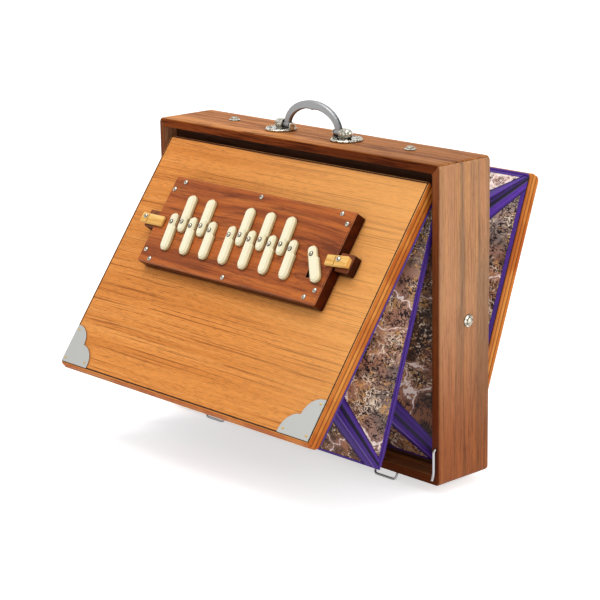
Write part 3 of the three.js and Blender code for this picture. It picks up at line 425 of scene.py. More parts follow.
def wood(
    title, tones, turn=(0, 0, 0), gloss=0.45, coat=0.02, shine=0.1, worn=None, wear=0.4, shade=None, **values
):
    """values are the ones of the Wood grain group."""
    polish = {"Coat_Weight": coat, "Coat_Roughness": 0.2, "Specular_IOR_Level": shine}
    made, tree, shader = material(title, gloss, **polish)
    inks = dict(zip(("Pale", "Dark", "Streak", "Line"), [colour(*tone) for tone in tones]))
    figure = placed(tree, grain, Vector=place_on(tree, turn), **inks, **values)
    shown = shade(figure["Colour"]) if shade else figure["Colour"]
    edge = placed(tree, edges)
    shown = mix(times(edge["Mask"], wear), shown, colour(*(worn or tones[0])))
    # Painted shade in the hollows, with some dirt there.
    shown = mix(placed(tree, hollows)["Mask"], shown, tinted(shown, 120, 90, 72))
    shown = mix(placed(tree, dust)["Mask"], shown, colour(200, 190, 175))
    rougher = added(figure["Height"], -0.12, gloss + 0.1)
    joined(shader, Base_Color=shown, Roughness=rougher)
    joined(shader, Normal=bump(figure["Height"], 0.22, 0.0003, edge["Normal"]))
    return made


print("grain turned by", [degrees(angle) for angle in UPRIGHT], "degrees for uprights")

# %% [markdown]
# ## Walnut for the case
# The case is walnut, oiled and rubbed. The narrow front and rear faces are made much darker and
# redder than the broad sides: partly their edge grain, partly painted shade on faces turned from the
# light. The upright sides carry broad tan, orange and grey bands from top to bottom. The narrow faces
# could have a material of their own, but the face's direction finds them without cutting the boards up.

# %% Walnut


def dark_narrow_faces(shown):
    # Edge grain and painted shade: faces that look to the front or rear are darkened.
    front, rear = [looks_along(shown.id_data, (0, side, 0), 0.55, 0.9) for side in (-1, 1)]
    return mix(larger(front, rear), shown, tinted(shown, 172, 132, 104))


def tinted_along(letter, start, end, tint):
    """Dark narrow faces, and a tint that comes on slowly from one end of the board to the other."""

    def shade(shown):
        along = axis(source(shown.id_data, "TexCoord", "Object"), letter)
        return dark_narrow_faces(mix(ramp(along, start, end), shown, tinted(shown, *tint)))

    return shade


browner_right = tinted_along("X", -0.06, 0.16, (212, 208, 210))
redder_foot = tinted_along("Z", 0.2, 0.02, (220, 180, 154))
walnut_across = wood(
    "walnut_across",
    [(214, 140, 76), (158, 94, 48), (228, 160, 98), (96, 50, 24)],
    worn=(118, 60, 32),
    wear=0.85,
    shade=browner_right,
    shine=0.02,
    Fineness=1.5,
    Waviness=0.12,
    Stripes=1.0,
    Lines=0.75,
    Pores=0.5,
)
walnut_upright = wood(
    "walnut_upright",
    [(198, 142, 102), (152, 118, 90), (222, 160, 100), (104, 64, 44)],
    turn=UPRIGHT,
    worn=(150, 86, 54),
    wear=0.6,
    shade=redder_foot,
    shine=0.05,
    Stripes=0.9,
    Streaks=0.5,
    Lines=0.35,
    Pores=0.5,
    Fineness=1.7,
    Waviness=0.25,
)
inside_tones = [(104, 62, 34), (74, 42, 22), (124, 78, 44), (44, 24, 14)]
inner_wood = wood("inner_wood", inside_tones, gloss=0.6, coat=0.0)
print("walnut finishes:", walnut_across.name, walnut_upright.name, inner_wood.name)

# %% [markdown]
# ## Teak for the two boards
# The boards are golden teak veneer with fine dark lines that run across the box. Their edges are
# moulded in three beads; the lipping there carries painted shade in the grooves and a painted highlight
# on the middle bead. The colour of the lipping follows the depth from the board's inner face. The face
# is painted paler towards the upper right, as painted light.

# %% Teak
HINGES = {"front": (-19, 283.5, 36.1), "rear": (19, 26.5, 19.8)}
SIDE = {"front": -1, "rear": 1}
BOARD_THICKNESS = 14.7


def outward_of(which):
    """The direction in which the outer face of a board looks while the box stands open."""
    turn = radians(HINGES[which][2])
    return Vector((0, SIDE[which] * cos(turn), -SIDE[which] * sin(turn)))


def depth_in(tree, which):
    """How far outward a place lies from the inner face of a board, in millimetres."""
    outward = outward_of(which)
    start = Vector((0, *HINGES[which][:2])).dot(outward)
    return math_node("SUBTRACT", dot(source(tree, "TexCoord", "Object"), outward / MM), start)


def banded(value, stops):
    made = node("ValToRGB", {0: value})
    while len(made.color_ramp.elements) < len(stops):
        made.color_ramp.elements.new(0.5)
    for element, (position, tone) in zip(made.color_ramp.elements, stops):
        element.position = position
        element.color = colour(*tone)
    return made.outputs[0]


# Lipping tones with painted light: dark bands are painted shade in the grooves, the palest band a painted
# highlight on the middle bead.
lipping_tones_and_bead_light = [
    (0.0, (104, 58, 26)), (0.08, (206, 134, 56)), (0.27, (222, 150, 68)), (0.335, (122, 70, 30)),
    (0.4, (228, 158, 70)), (0.6, (240, 180, 90)), (0.665, (130, 74, 30)), (0.73, (216, 140, 58)),
    (0.9, (228, 152, 66)), (0.97, (206, 132, 56)),
]  # fmt: skip


def moulded_edges(which):
    def shade(shown):
        tree = shown.id_data
        place = source(tree, "TexCoord", "Object")
        share = math_node("DIVIDE", depth_in(tree, which), BOARD_THICKNESS)
        lipping = banded(share, lipping_tones_and_bead_light)
        lipping = mix(0.45, lipping, mix(1.0, lipping, shown, "MULTIPLY"))
        lipping = mix(ramp(noise(place, 24.0, 3.0), 0.4, 0.62), lipping, tinted(lipping, 228, 200, 168))
        # Painted light: the face turns paler towards the upper right.
        painted_light_upper_right = times(ramp(dot(place, (1, 0, 1)), 0.12, 0.48), 0.45)
        face = mix(painted_light_upper_right, shown, colour(246, 186, 112))
        return mix(ramp(share, 0.975, 0.99), lipping, face)

    return shade


teak_boards = {
    which: wood(
        f"teak_{which}",
        [(232, 150, 72), (210, 128, 54), (242, 168, 90), (136, 68, 28)],
        shade=moulded_edges(which),
        Lines=0.72,
        Pores=0.7,
        Fineness=1.9,
        Stripes=0.7,
        Waviness=0.06,
        Length=0.25,
        Thinness=0.55,
    )
    for which in HINGES
}
print("teak boards look along", [tuple(round(v, 2) for v in outward_of(name)) for name in HINGES])

# %% [markdown]
# ## Rosewood plate, latch blocks and turn buttons
# The keyboard plate is rosewood with swirling dark figure under a thick polish, and its sides are
# nearly black. The blocks beside it are the same family of wood, and the turn buttons are a pale
# yellow wood.

# %% Plate, blocks and buttons


def dark_sides(shown):
    top = looks_along(shown.id_data, outward_of("front"), 0.5, 0.8)
    return mix(top, tinted(shown, 104, 70, 54), shown)


plate_wood = wood(
    "plate_wood",
    [(192, 102, 44), (132, 60, 24), (212, 124, 56), (54, 22, 12)],
    # A pale edge line: wear of the edges and a painted highlight.
    worn=(226, 178, 140),
    wear=0.7,
    shade=dark_sides,
    gloss=0.34,
    coat=0.08,
    Stripes=0.9,
    Streaks=0.3,
    Lines=0.42,
    Pores=0.4,
    Waviness=0.55,
    Swirl=0.9,
    Fineness=1.3,
)
block_tones = [(150, 82, 46), (104, 54, 30), (170, 98, 58), (60, 30, 18)]
down_the_board = (0, 0, radians(90))
block_wood = wood("block_wood", block_tones, turn=down_the_board, coat=0.1, shade=dark_sides, Fineness=2.2)
button_tones = [(250, 200, 112), (232, 172, 84), (252, 216, 140), (166, 104, 46)]
button_wood = wood("button_wood", button_tones, coat=0.1, Lines=0.4, Fineness=2.4)
rail_tones = [(84, 50, 30), (58, 34, 20), (98, 60, 36), (36, 20, 12)]
rail_wood = wood("rail_wood", rail_tones, gloss=0.6, coat=0.0)
print("woods:", plate_wood.name, block_wood.name, button_wood.name, rail_wood.name)

# %% [markdown]
# ## Ivory-coloured keys
# The keys are cast or milled plastic in an old ivory tone, polished on a wheel. A little light goes
# into them, so they get some subsurface, and the tone clouds very slightly from key to key. Their
# sides are painted a darker yellow and the hollows under them darker still, as painted shade, and
# their edges paler, as a painted highlight.

# %% Keys
ivory, tree, shader = material("ivory", 0.24, Coat_Weight=0.4, Coat_Roughness=0.08)
shader["Subsurface Weight"].default_value = 0.06
shader["Subsurface Radius"].default_value = (0.002, 0.0015, 0.001)
place = place_on(tree)
edge = placed(tree, edges, Radius=0.00035)
cream = mix(noise(place, 60.0, 3.0), colour(250, 244, 214), colour(242, 233, 196))
# Painted shade: faces that don't look out from the board are a darker yellow.
cream = mix(looks_along(tree, outward_of("front"), 0.35, 0.95), colour(222, 206, 156), cream)
# Painted shade under and between the keys.
cream = mix(placed(tree, hollows)["Mask"], cream, colour(150, 122, 72))
# Painted highlight along the edges.
cream = mix(times(edge["Mask"], 0.5), cream, colour(250, 240, 208))
joined(shader, Base_Color=cream, Normal=bump(noise(place, 900.0), 0.04, 0.0002, edge["Normal"]))
print("keys:", ivory.name)

# %% [markdown]
# ## Metals
# The mounts and cup washers are nickel plated and bright, the handle is polished to a soft grey, the
# corner plates are satin sheet, the wires are plain steel and the nails and reeds are brass. One
# recipe serves all: a tone, a roughness, hair scratches, and edges rubbed a little brighter. Hollows
# are darkened, partly tarnish and partly painted shade, and the sides of the handle carry painted shade.

# %% Metals


def metal(title, tone, roughness, wear=0.25, shade_and_tarnish=0.9, clouds=0.0, painted_flank_shade=0.0):
    """clouds is how much tarnish stays in patches, painted_flank_shade how much painted shade darkens the
    sides of the part, and shade_and_tarnish how much the hollows darken, partly tarnish and partly painted
    shade.
    """
    made, tree, shader = material(title, roughness, Metallic=1.0)
    place = place_on(tree)
    worn = placed(tree, scratches, Vector=place, Fineness=1.0)
    edge = placed(tree, edges, Radius=0.0003)
    shown = mix(edge["Mask"], tone, (*[min(1, 1.25 * value) for value in tone[:3]], 1))
    shown = mix(times(ramp(noise(place, 420.0), 0.46, 0.58), clouds), shown, colour(104, 98, 78))
    # Painted shade on the sides of the part.
    normal = source(tree, "TexCoord", "Normal")
    sideways = math_node("ABSOLUTE", dot(normal, (1, 0, 0)), 0.0)
    shown = mix(times(ramp(sideways, 0.5, 0.95), painted_flank_shade), shown, colour(52, 52, 54))
    # Hollows darkened: tarnish and painted shade.
    tarnish = placed(tree, hollows, Reach=0.004, Amount=shade_and_tarnish)
    shown = mix(tarnish["Mask"], shown, colour(58, 50, 42))
    joined(shader, Base_Color=shown, Roughness=added(worn["Roughness"], wear, roughness))
    joined(shader, Normal=bump(worn["Height"], 0.12, 0.0001, edge["Normal"]))
    return made


bright_nickel = metal("bright_nickel", colour(214, 210, 198), 0.12, clouds=0.75)
screw_nickel = metal("screw_nickel", colour(192, 186, 172), 0.22, clouds=0.4)
steel = metal("steel", colour(180, 180, 182), 0.28)
satin_silver = metal("satin_silver", colour(188, 188, 184), 0.42, wear=0.4, shade_and_tarnish=0.3)
soft_grey = metal("soft_grey", colour(150, 151, 152), 0.4, wear=0.3, painted_flank_shade=0.85)
brass = metal("brass", colour(205, 165, 90), 0.3)
metals = (bright_nickel, screw_nickel, steel, satin_silver, soft_grey, brass)
print("metals:", [made.name for made in metals])

# %% [markdown]
# ## Leathers
# Purple sheepskin covers every fold, edge and corner of the bellows. The crests of its creases are
# painted paler, with a thin painted highlight along the highest, and the valleys and hollows get
# painted shade. The sheet attribute brings the height of the creases as its Z, which sets that painted
# light. Undyed leather makes the valve flaps.

# %% Leathers


def leather(title, pale, deep, roughness, sheen=0.2):
    settings = {"Sheen_Weight": sheen, "Sheen_Roughness": 0.4, "Specular_IOR_Level": 0.3}
    made, tree, shader = material(title, roughness, **settings)
    flat_place, crease = sheet_place(tree)
    skin = placed(tree, hide, Vector=flat_place)
    # Painted light and shade: paler on the crests, deep in the valleys.
    lit_share = ramp(added(skin["Tone"], 0.22, crease), 0.05, 1.15)
    # Painted highlight along the highest crests.
    painted_ridge_highlight = times(ramp(crease, 0.93, 0.99), 0.5)
    shown = mix(painted_ridge_highlight, mix(lit_share, deep, pale), colour(190, 170, 224))
    # Painted shade in the folds and hollows.
    shaded = placed(tree, hollows, Reach=0.006, Amount=0.7)
    joined(shader, Base_Color=mix(shaded["Mask"], shown, deep))
    joined(shader, Roughness=added(skin["Tone"], 0.15, roughness))
    joined(shader, Normal=bump(skin["Height"], 0.3, 0.0003))
    return made


purple_leather = leather("purple_leather", colour(90, 44, 164), colour(20, 6, 40), 0.4, sheen=0.0)
pale_leather = leather("pale_leather", colour(212, 195, 165), colour(186, 164, 132), 0.75)
print("leathers:", purple_leather.name, pale_leather.name)

# %% [markdown]
# ## Marbled paper
# The panels are covered with hand-marbled paper: brown and mauve clouds, dark broken cells, a few
# long pale veins and a fine web of gold, as colours drift on size and are lifted off on a sheet. Real
# marbling is paint pushed about by a comb, so every pattern is read at a place a noise has pushed.

# %% Marbled paper
paper, tree, shader = material("marbled_paper", 0.45, Specular_IOR_Level=0.2)
flat_place, painted_light_share = sheet_place(tree)


def pushed_by(place, scale, reach):
    """A place moved by a coloured noise, up to half the reach each way."""
    shift = node("TexNoise", {"Vector": place, "Scale": scale, "Detail": 3.0, "Roughness": 0.6})
    return vector_sum(place, scaled(shift.outputs["Color"], reach))


pushed = pushed_by(pushed_by(flat_place, 24.0, 0.03), 210.0, 0.006)


def patches(scale, low, high, seed):
    """Soft patches; the seed moves them so that no two effects share their places."""
    return ramp(noise(stretched(flat_place, (1, 1, 1), (seed, 3, 0)), scale, 3.0), low, high)


def cell_lines(scale, width):
    """Lines between cells, as two colours meet on the size."""
    cells = node("TexVoronoi", {"Vector": pushed, "Scale": scale}, feature="DISTANCE_TO_EDGE")
    return ramp(cells.outputs["Distance"], width, width * 0.4)


def flecked(scale, low, high):
    return ramp(noise(pushed, scale, 3.0, 0.7), low, high)


ground = mix(ramp(noise(pushed, 15.0, 3.0), 0.4, 0.6), colour(80, 50, 32), colour(172, 112, 82))
ground = mix(times(patches(70.0, 0.5, 0.62, 5), 0.7), ground, colour(58, 36, 30))
# Painted light: where the sheet's key is high the paper is painted paler.
ground = mix(painted_light_share, ground, colour(242, 222, 214))
marks = times(cell_lines(300.0, 0.13), patches(70.0, 0.42, 0.52, 9))
dark = larger(marks, times(flecked(360.0, 0.55, 0.58), patches(55.0, 0.42, 0.5, 2)))
flecks = times(flecked(420.0, 0.55, 0.575), patches(30.0, 0.47, 0.56, 7))
web = times(cell_lines(230.0, 0.09), patches(26.0, 0.53, 0.59, 7))
gold = mix(ramp(noise(pushed, 120.0), 0.42, 0.58), colour(252, 228, 204), colour(220, 166, 104))
vein_places = patches(20.0, 0.44, 0.52, 4)
halo = times(times(cell_lines(15.0, 0.06), vein_places), 0.35)
shown = mix(larger(flecks, web), mix(dark, ground, colour(22, 8, 16)), gold)
shown = mix(halo, shown, colour(206, 150, 130))
shown = mix(times(cell_lines(15.0, 0.013), vein_places), shown, colour(255, 236, 230))
joined(shader, Base_Color=shown, Roughness=added(dark, 0.12, 0.4))
joined(shader, Normal=bump(noise(flat_place, 1600.0), 0.1, 0.0001))
print("marbled paper:", len(tree.nodes), "nodes")

# %% [markdown]
# ## The frame's finishes
# The CAD solids whose shape is right stay as they are and only take a finish. The reed board is one
# solid, so its reed plates and tongues turn to brass by their depth behind the wooden block.

# %% Finish the CAD solids
reeds, tree, shader = material("reeds", 0.5)
plates = ramp(depth_in(tree, "front"), -7.2, -7.3)
reed_grain = placed(tree, grain, Vector=place_on(tree))
joined(shader, Base_Color=mix(plates, reed_grain["Colour"], colour(214, 174, 96)), Metallic=plates)
joined(shader, Roughness=added(plates, -0.2, 0.55), Normal=bump(reed_grain["Height"], 0.1, 0.0002))

# A later row may name some of an earlier row's solids again.
finishes = [
    (walnut_across, "case_top", "case_bottom"),
    (walnut_upright, "case_left", "case_right"),
    (inner_wood, "partition"),
    (rail_wood, "front_hinge_rail", "rear_hinge_rail", "bellows_rail"),
    (steel, "foot", "catch"),
    (soft_grey, "handle"),
    (bright_nickel, "partition_screw", "handle_mount"),
    (teak_boards["front"], "front_board"),
    (teak_boards["rear"], "rear_board"),
    (plate_wood, "keyboard_plate"),
    (ivory, "key_"),
    (block_wood, "turn_block"),
    (button_wood, "turn_button"),
    (satin_silver, "corner_plate"),
    (reeds, "reed_board"),
]
finished = set()
for chosen, *stems in finishes:
    for name in [name for name in nodes if name.startswith(tuple(stems))]:
        nodes[name].data.materials.clear()
        nodes[name].data.materials.append(chosen)
        finished.add(name)
print("CAD solids finished:", len(finished), "left to build:", sorted(set(nodes) - finished))

# %% [markdown]
# ## Closed sheets from grids of points
# Leather, card, screw heads and wires are all made the same way here: a grid of points for the outer
# face, another for the inner face, and a rim that closes them. Each sheet also stores where it would
# lie if it were flat, so that its pattern is never stretched by the folds.

# %% Solids from grids


def value_at(value, i, j):
    return value(i, j) if callable(value) else value


class Solid:
    """Collects closed grids into one mesh. Points are millimetres in the box."""

    def __init__(self):
        self.points, self.faces, self.flat = [], [], []

    def slab(self, upper, lower, flat=None):
        """Two grids of the same size, closed by a rim. flat holds a flat place for each point."""
        down, over = len(upper), len(upper[0])
        base = len(self.points)
        for layer in (upper, lower):
            for i, row in enumerate(layer):
                for j, point in enumerate(row):
                    self.points.append(point * MM)
                    self.flat.append(flat[i][j] if flat else (point.x * MM, point.z * MM, 0.5))

        def index(layer, i, j):
            return base + layer * down * over + i * over + j

        for i in range(down - 1):
            for j in range(over - 1):
                corners = [(i, j), (i + 1, j), (i + 1, j + 1), (i, j + 1)]
                self.faces.append([index(0, *c) for c in corners])
                self.faces.append([index(1, *c) for c in reversed(corners)])
        rim = [(0, j) for j in range(over)] + [(i, over - 1) for i in range(1, down)]
        rim += [(down - 1, j) for j in range(over - 2, -1, -1)] + [(i, 0) for i in range(down - 2, 0, -1)]
        for first, second in zip(rim, rim[1:] + rim[:1]):
            self.faces.append([index(0, *first), index(0, *second), index(1, *second), index(1, *first)])

    def leaf(self, rows, outside, thickness, rise, origin, key):
        """A sheet over a grid. rise is how far its face stands off along the normal and key what its
        material reads there; each is a number or a function of the row and column."""
        down, over = len(rows), len(rows[0])
        down_way = (rows[-1][0] - rows[0][0]).normalized()
        upper, lower, flat = [], [], []
        for i, row in enumerate(rows):
            for grid in (upper, lower, flat):
                grid.append([])
            for j, point in enumerate(row):
                following = rows[min(i + 1, down - 1)][j] - rows[max(i - 1, 0)][j]
                beside = row[min(j + 1, over - 1)] - row[max(j - 1, 0)]
                normal = following.cross(beside)
                normal = normal.normalized() if normal.length > 1e-9 else Vector(outside)
                if normal.dot(outside) < 0:
                    normal = -normal
                lift = value_at(rise, i, j)
                upper[-1].append(point + normal * lift)
                lower[-1].append(point + normal * (lift - thickness))
                away = point - rows[0][0]
                run = away.dot(down_way)
                across = (away - down_way * run).length
                flat[-1].append((origin[0] + across * MM, origin[1] + run * MM, value_at(key, i, j)))
        self.slab(upper, lower, flat)

    def piece(self, name, finish, slot, sharp=40):
        mesh = bpy.data.meshes.new(name)
        mesh.from_pydata(self.points, [], self.faces)
        flat = mesh.attributes.new("sheet", "FLOAT_VECTOR", "POINT")
        flat.data.foreach_set("vector", [value for row in self.flat for value in row])
        cleaner = bmesh.new()
        cleaner.from_mesh(mesh)
        bmesh.ops.recalc_face_normals(cleaner, faces=cleaner.faces)
        cleaner.to_mesh(mesh)
        cleaner.free()
        mesh.materials.append(finish)
        mesh.shade_smooth()
        mesh.set_sharp_from_angle(angle=radians(sharp))
        made = in_scene(name, mesh)
        return made


def even(start, end, count):
    return [start + (end - start) * i / count for i in range(count + 1)]


print("a leaf of 3 by 3 points has", 2 * 4 + 8, "faces")

# %% [markdown]
# ## Where a pleat folds
# Each pleat is a wedge: two leaves of card that meet in a valley, folded in when the board closes.
# These are the same lines as in the CAD, so that looks and collision share one shape. The lines
# could be read back from the CAD mesh, but working them out again keeps them exact. A pleat's edges
# are the Y and Z where each starts, its lean in degrees and its length.

# %% Lines of the pleats
side_panel_angle = radians(15.5)
end_panel_width = 65
pleat_start = 3
fold_x = 186.4
front_mitres = {"side_mitre": (257, 1.1), "end_mitre": (19, 0.9), "hinge": "front"}
rear_mitres = {"side_mitre": (252, 1.35), "end_mitre": (4.5, 0.95), "hinge": "rear"}
pleats = {
    "inner": {
        "edges": ((-9.9, 283.2, 0, 269.7), (-12.46, 283.2, 18.447, 265.4)),
        "bodies": ("case", "front_fold"),
        "stands_for": "front_pleat_inner",
        **front_mitres,
    },
    "outer": {
        "edges": ((-16.05, 283.2, 18.447, 265.4), (-17.89, 283.2, 36.1, 265.4)),
        "bodies": ("front_fold", "front_board"),
        "stands_for": "front_pleat_outer",
        **front_mitres,
    },
    "rear": {
        "edges": ((10.9, 26.8, 0, 266.4), (18.04, 26.8, 19.8, 266.4)),
        "bodies": ("case", "rear_board"),
        "stands_for": "rear_pleat",
        **rear_mitres,
    },
}


def leaning(which, turn):
    """The way along a board or leaf that leans by turn from upright, away from its hinge."""
    return Vector((0, SIDE[which] * sin(turn), SIDE[which] * cos(turn)))


def pleat_lines(pleat):
    """The corners of a pleat's right half, in millimetres."""
    hinge = pleat["hinge"]
    starts = [Vector((fold_x, y, z)) for y, z, _, _ in pleat["edges"]]
    angles = [radians(angle) for _, _, angle, _ in pleat["edges"]]
    lengths = [length for _, _, _, length in pleat["edges"]]
    side_mitre, side_share = pleat["side_mitre"]
    end_mitre, end_share = pleat["end_mitre"]
    middle_way = leaning(hinge, sum(angles) / 2)
    half_angle = (angles[1] - angles[0]) / 2
    crown = starts[0].lerp(starts[1], 0.5)
    length = sum(lengths) / 2
    valley_turn = acos(cos(side_panel_angle) / cos(half_angle))
    valley = middle_way * cos(valley_turn)
    valley.x = -sin(valley_turn)
    run = side_mitre / (1 + side_share * tan(side_panel_angle))
    end_run = length * cos(half_angle) - sqrt(end_panel_width**2 - (length * sin(half_angle)) ** 2)
    lines = {
        "valley_start": crown + valley * pleat_start,
        "side_valley": crown + valley * run / cos(side_panel_angle),
        "end_valley": crown + middle_way * end_run,
        "edges": [],
    }
    lines["end_valley"].x = fold_x - end_mitre - end_share * end_panel_width
    for start, angle, length in zip(starts, angles, lengths):
        way = leaning(hinge, angle)
        corner = start + way * length
        edge = {"start": start + way * pleat_start, "mitred": start + way * side_mitre, "corner": corner}
        edge["end_mitred"] = Vector((fold_x - end_mitre, *corner.yz))
        lines["edges"].append(edge)
    return lines


for name, pleat in pleats.items():
    pleat["lines"] = pleat_lines(pleat)
    print(name, "valley at the mitre", [round(v, 1) for v in pleat["lines"]["side_valley"]])

# %% [markdown]
# ## Side panels, strip by strip
# A side panel of the bellows is stiff card with paper on it and leather tape along its edge. When a
# board closes, points near the hinge move less. Every strip is built between the pleat's own two
# edges, at its own distance from the hinge.

# %% Side panels
strips = 14
tapes = {"inner": (3, 2.5), "outer": (2.2, 3.2), "rear": (4, 6.5)}
paper_cut = {"inner": 0, "outer": 2.3, "rear": 4.7}
widest_tape = 0.94
bare_panel = 0.8
hide_thickness, hide_key = 0.9, 0.6
tape_rise = 0.8
card_thickness, paper_rise, valley_gap = 0.4, 0.45, 1.2
bellows = []


def patch(first_line, second_line, over_shares, down_shares):
    """Rows of points: down_shares run along two lines, over_shares from the first to the second."""
    lines = [(first_line(down), second_line(down)) for down in down_shares]
    return [[first.lerp(second, over) for over in over_shares] for first, second in lines]


def straight(start, end):
    return lambda share: start.lerp(end, share)


def mirror(point):
    return Vector((-point.x, *point.yz))


def both_sides(rows):
    """The right half as it is, and its mirror image on the left, each with its side, 1 or -1."""
    return ((1, rows), (-1, [[mirror(point) for point in row] for row in rows]))


def bend_with(made):
    """A finished piece, its place baked into its mesh, added to the bellows."""
    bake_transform(made)
    bellows.append(made)
    return made


def taped(i, j):
    return tape_rise if 0 < j < 3 else 0.1


def painted_light_on(title, down):
    """Painted light: the outer panels are painted paler towards the ridge, and the rear ones towards the
    free end.
    """
    if title == "outer":
        return lambda i, j: 0.22 * (1 - j / 2)
    return max(0, down - 0.75) * 1.2 if title == "rear" else 0.0


def side_strips(title, pleat):
    lines = pleat["lines"]
    valley_line = straight(lines["valley_start"], lines["side_valley"])
    run = pleat["side_mitre"][0] - pleat_start
    made = []
    for k in range(strips):
        start, end = k / strips, (k + 1) / strips
        middle = (start + end) / 2
        skin, card = Solid(), Solid()
        for number, edge in enumerate(lines["edges"]):
            edge_line = straight(edge["start"], edge["mitred"])
            width = (edge_line(middle) - valley_line(middle)).length
            band = min(tapes[title][number] / width, widest_tape)
            over = [0, band * 0.06, band * 0.94, band, band + 0.5 * (1 - band), 1]
            layers = [(skin, over, hide_thickness, taped, hide_key)]
            if band < bare_panel:
                over = [band * 0.85, 0.5 * (band + 1), 1 - valley_gap / width]
                layers.append((card, over, card_thickness, paper_rise, painted_light_on(title, end)))
            for solid, over, thickness, rise, key in layers:
                for flip, rows in both_sides(patch(edge_line, valley_line, over, even(start, end, 2))):
                    origin = (paper_cut[title] + 0.3 * number + 0.7 * (flip < 0), start * run * MM)
                    solid.leaf(rows, Vector((flip, 0, 0)), thickness, rise, origin, key)
        hide_strip = skin.piece(f"{title}_hide_{k + 1:02d}", purple_leather, "purple_leather")
        made.append(bend_with(hide_strip))
        if card.points:
            paper_strip = card.piece(f"{title}_paper_{k + 1:02d}", paper, "marbled_paper")
            made.append(bend_with(paper_strip))
    return made


for name, pleat in pleats.items():
    built = side_strips(name, pleat)
    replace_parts(built[0], pleat["stands_for"])
    print(name, "pleat:", len(built), "side strips")

# %% [markdown]
# ## Corner gussets
# Where the side panels meet the panel of the free end, the card is cut away and only leather is left,
# so that the corner can fold flat. It gathers in a fan of long creases that start at the outer
# corner. Cloth simulation could find creases too, but these are listed along the fan, because
# they must run where the photograph shows them and close without touching. A profile lists shares
# of the fan and how high the leather stands there, in millimetres.

# %% Corner gussets
crease_profiles = {
    "inner": [
        (0, 0), (0.12, 1.4), (0.2, 0.5), (0.34, 1.0), (0.5, -0.6),
        (0.62, 0.9), (0.8, 1.6), (0.9, 0.6), (1, 0),
    ],
    "outer": [
        (0, 0), (0.1, 1.2), (0.22, 0.9), (0.3, -0.7), (0.4, -0.4), (0.47, 1.5),
        (0.52, 0.2), (0.62, 1.7), (0.68, 0.3), (0.82, 1.0), (0.93, 0.4), (1, 0),
    ],
    "rear": [
        (0, 0), (0.14, 1.5), (0.3, 1.0), (0.38, -1.2), (0.5, 0.8),
        (0.56, -0.5), (0.66, 1.2), (0.85, 0.9), (1, 0),
    ],
}  # fmt: skip
fan, reach = 40, 10


def crease_at(profile, share):
    for (low, first), (high, second) in zip(profile, profile[1:]):
        if share <= high:
            return first + (second - first) * (share - low) / (high - low)
    return 0.0


def corner_leather(title, pleat):
    lines = pleat["lines"]
    valley_run = straight(lines["side_valley"], lines["end_valley"])
    creases = [crease_at(crease_profiles[title], i / fan) for i in range(fan + 1)]
    skin = Solid()

    def height(i, j):
        return creases[i] * min(1, 0.35 + 1.1 * j / reach) * (1 - 0.5 * (j / reach) ** 6)

    # The key this leather carries: painted light on the crests, painted shade in the valleys.
    def lit_share(i, j):
        return min(1, max(0, 0.22 + 0.5 * creases[i]))

    for number, edge in enumerate(lines["edges"]):

        def round_corner(share, edge=edge):
            if share < 0.5:
                return edge["mitred"].lerp(edge["corner"], share * 2)
            return edge["corner"].lerp(edge["end_mitred"], share * 2 - 1)

        for flip, rows in both_sides(patch(round_corner, valley_run, even(0, 1, reach), even(0, 1, fan))):
            outside = Vector((0.6 * flip, 0, 0.8 * SIDE[pleat["hinge"]]))
            skin.leaf(rows, outside, hide_thickness, height, (0.4 * number, 0.5 * flip), lit_share)
    made = skin.piece(f"{title}_corner_hide", purple_leather, "purple_leather", sharp=60)
    return bend_with(made)


for name, pleat in pleats.items():
    print(corner_leather(name, pleat).name, "made")

# %% [markdown]
# ## Panels of the free end
# Two more panels close each pleat at its free end, below the front board and above the rear board.
# They too are papered card with leather tape along the outer edge, and meet in a valley.

# %% End panels


def end_panels(title, pleat, panel_key):
    away = Vector((0, 0, SIDE[pleat["hinge"]]))
    valley = pleat["lines"]["end_valley"]
    valley_line = straight(valley, mirror(valley))
    band = (4 if title == "rear" else 2) / end_panel_width
    hide_over = [0, band * 0.06, band * 0.94, band, 0.5, 1]
    paper_over = [band * 0.85, 0.5, 1 - valley_gap / end_panel_width]
    skin, card = Solid(), Solid()
    for number, edge in enumerate(pleat["lines"]["edges"]):
        edge_line = straight(edge["end_mitred"], mirror(edge["end_mitred"]))
        origin = (paper_cut[title] + 1.4 + 0.3 * number, 0.2)
        rows = patch(edge_line, valley_line, hide_over, even(0, 1, 8))
        skin.leaf(rows, away, hide_thickness, taped, origin, hide_key)
        rows = patch(edge_line, valley_line, paper_over, even(0.003, 0.997, 8))
        card.leaf(rows, away, card_thickness, paper_rise, origin, panel_key)
    bend_with(skin.piece(f"{title}_end_hide", purple_leather, "purple_leather"))
    bend_with(card.piece(f"{title}_end_paper", paper, "marbled_paper"))


for name, pleat in pleats.items():
    # Painted light: the rear end panel is painted pale, the front ones are not.
    end_panels(name, pleat, 1.0 if name == "rear" else 0.0)
print("bellows pieces:", len(bellows))

# %% [markdown]
# ## Bars and wires along a path
# A leather-bound ridge, a welt and a spring wire are all one section carried along a path. A curve
# with a bevel would do it, but it rounds its corners differently at every bend, and a mesh keeps its
# mitres where they are drawn.

# %% Sweep a section along a path


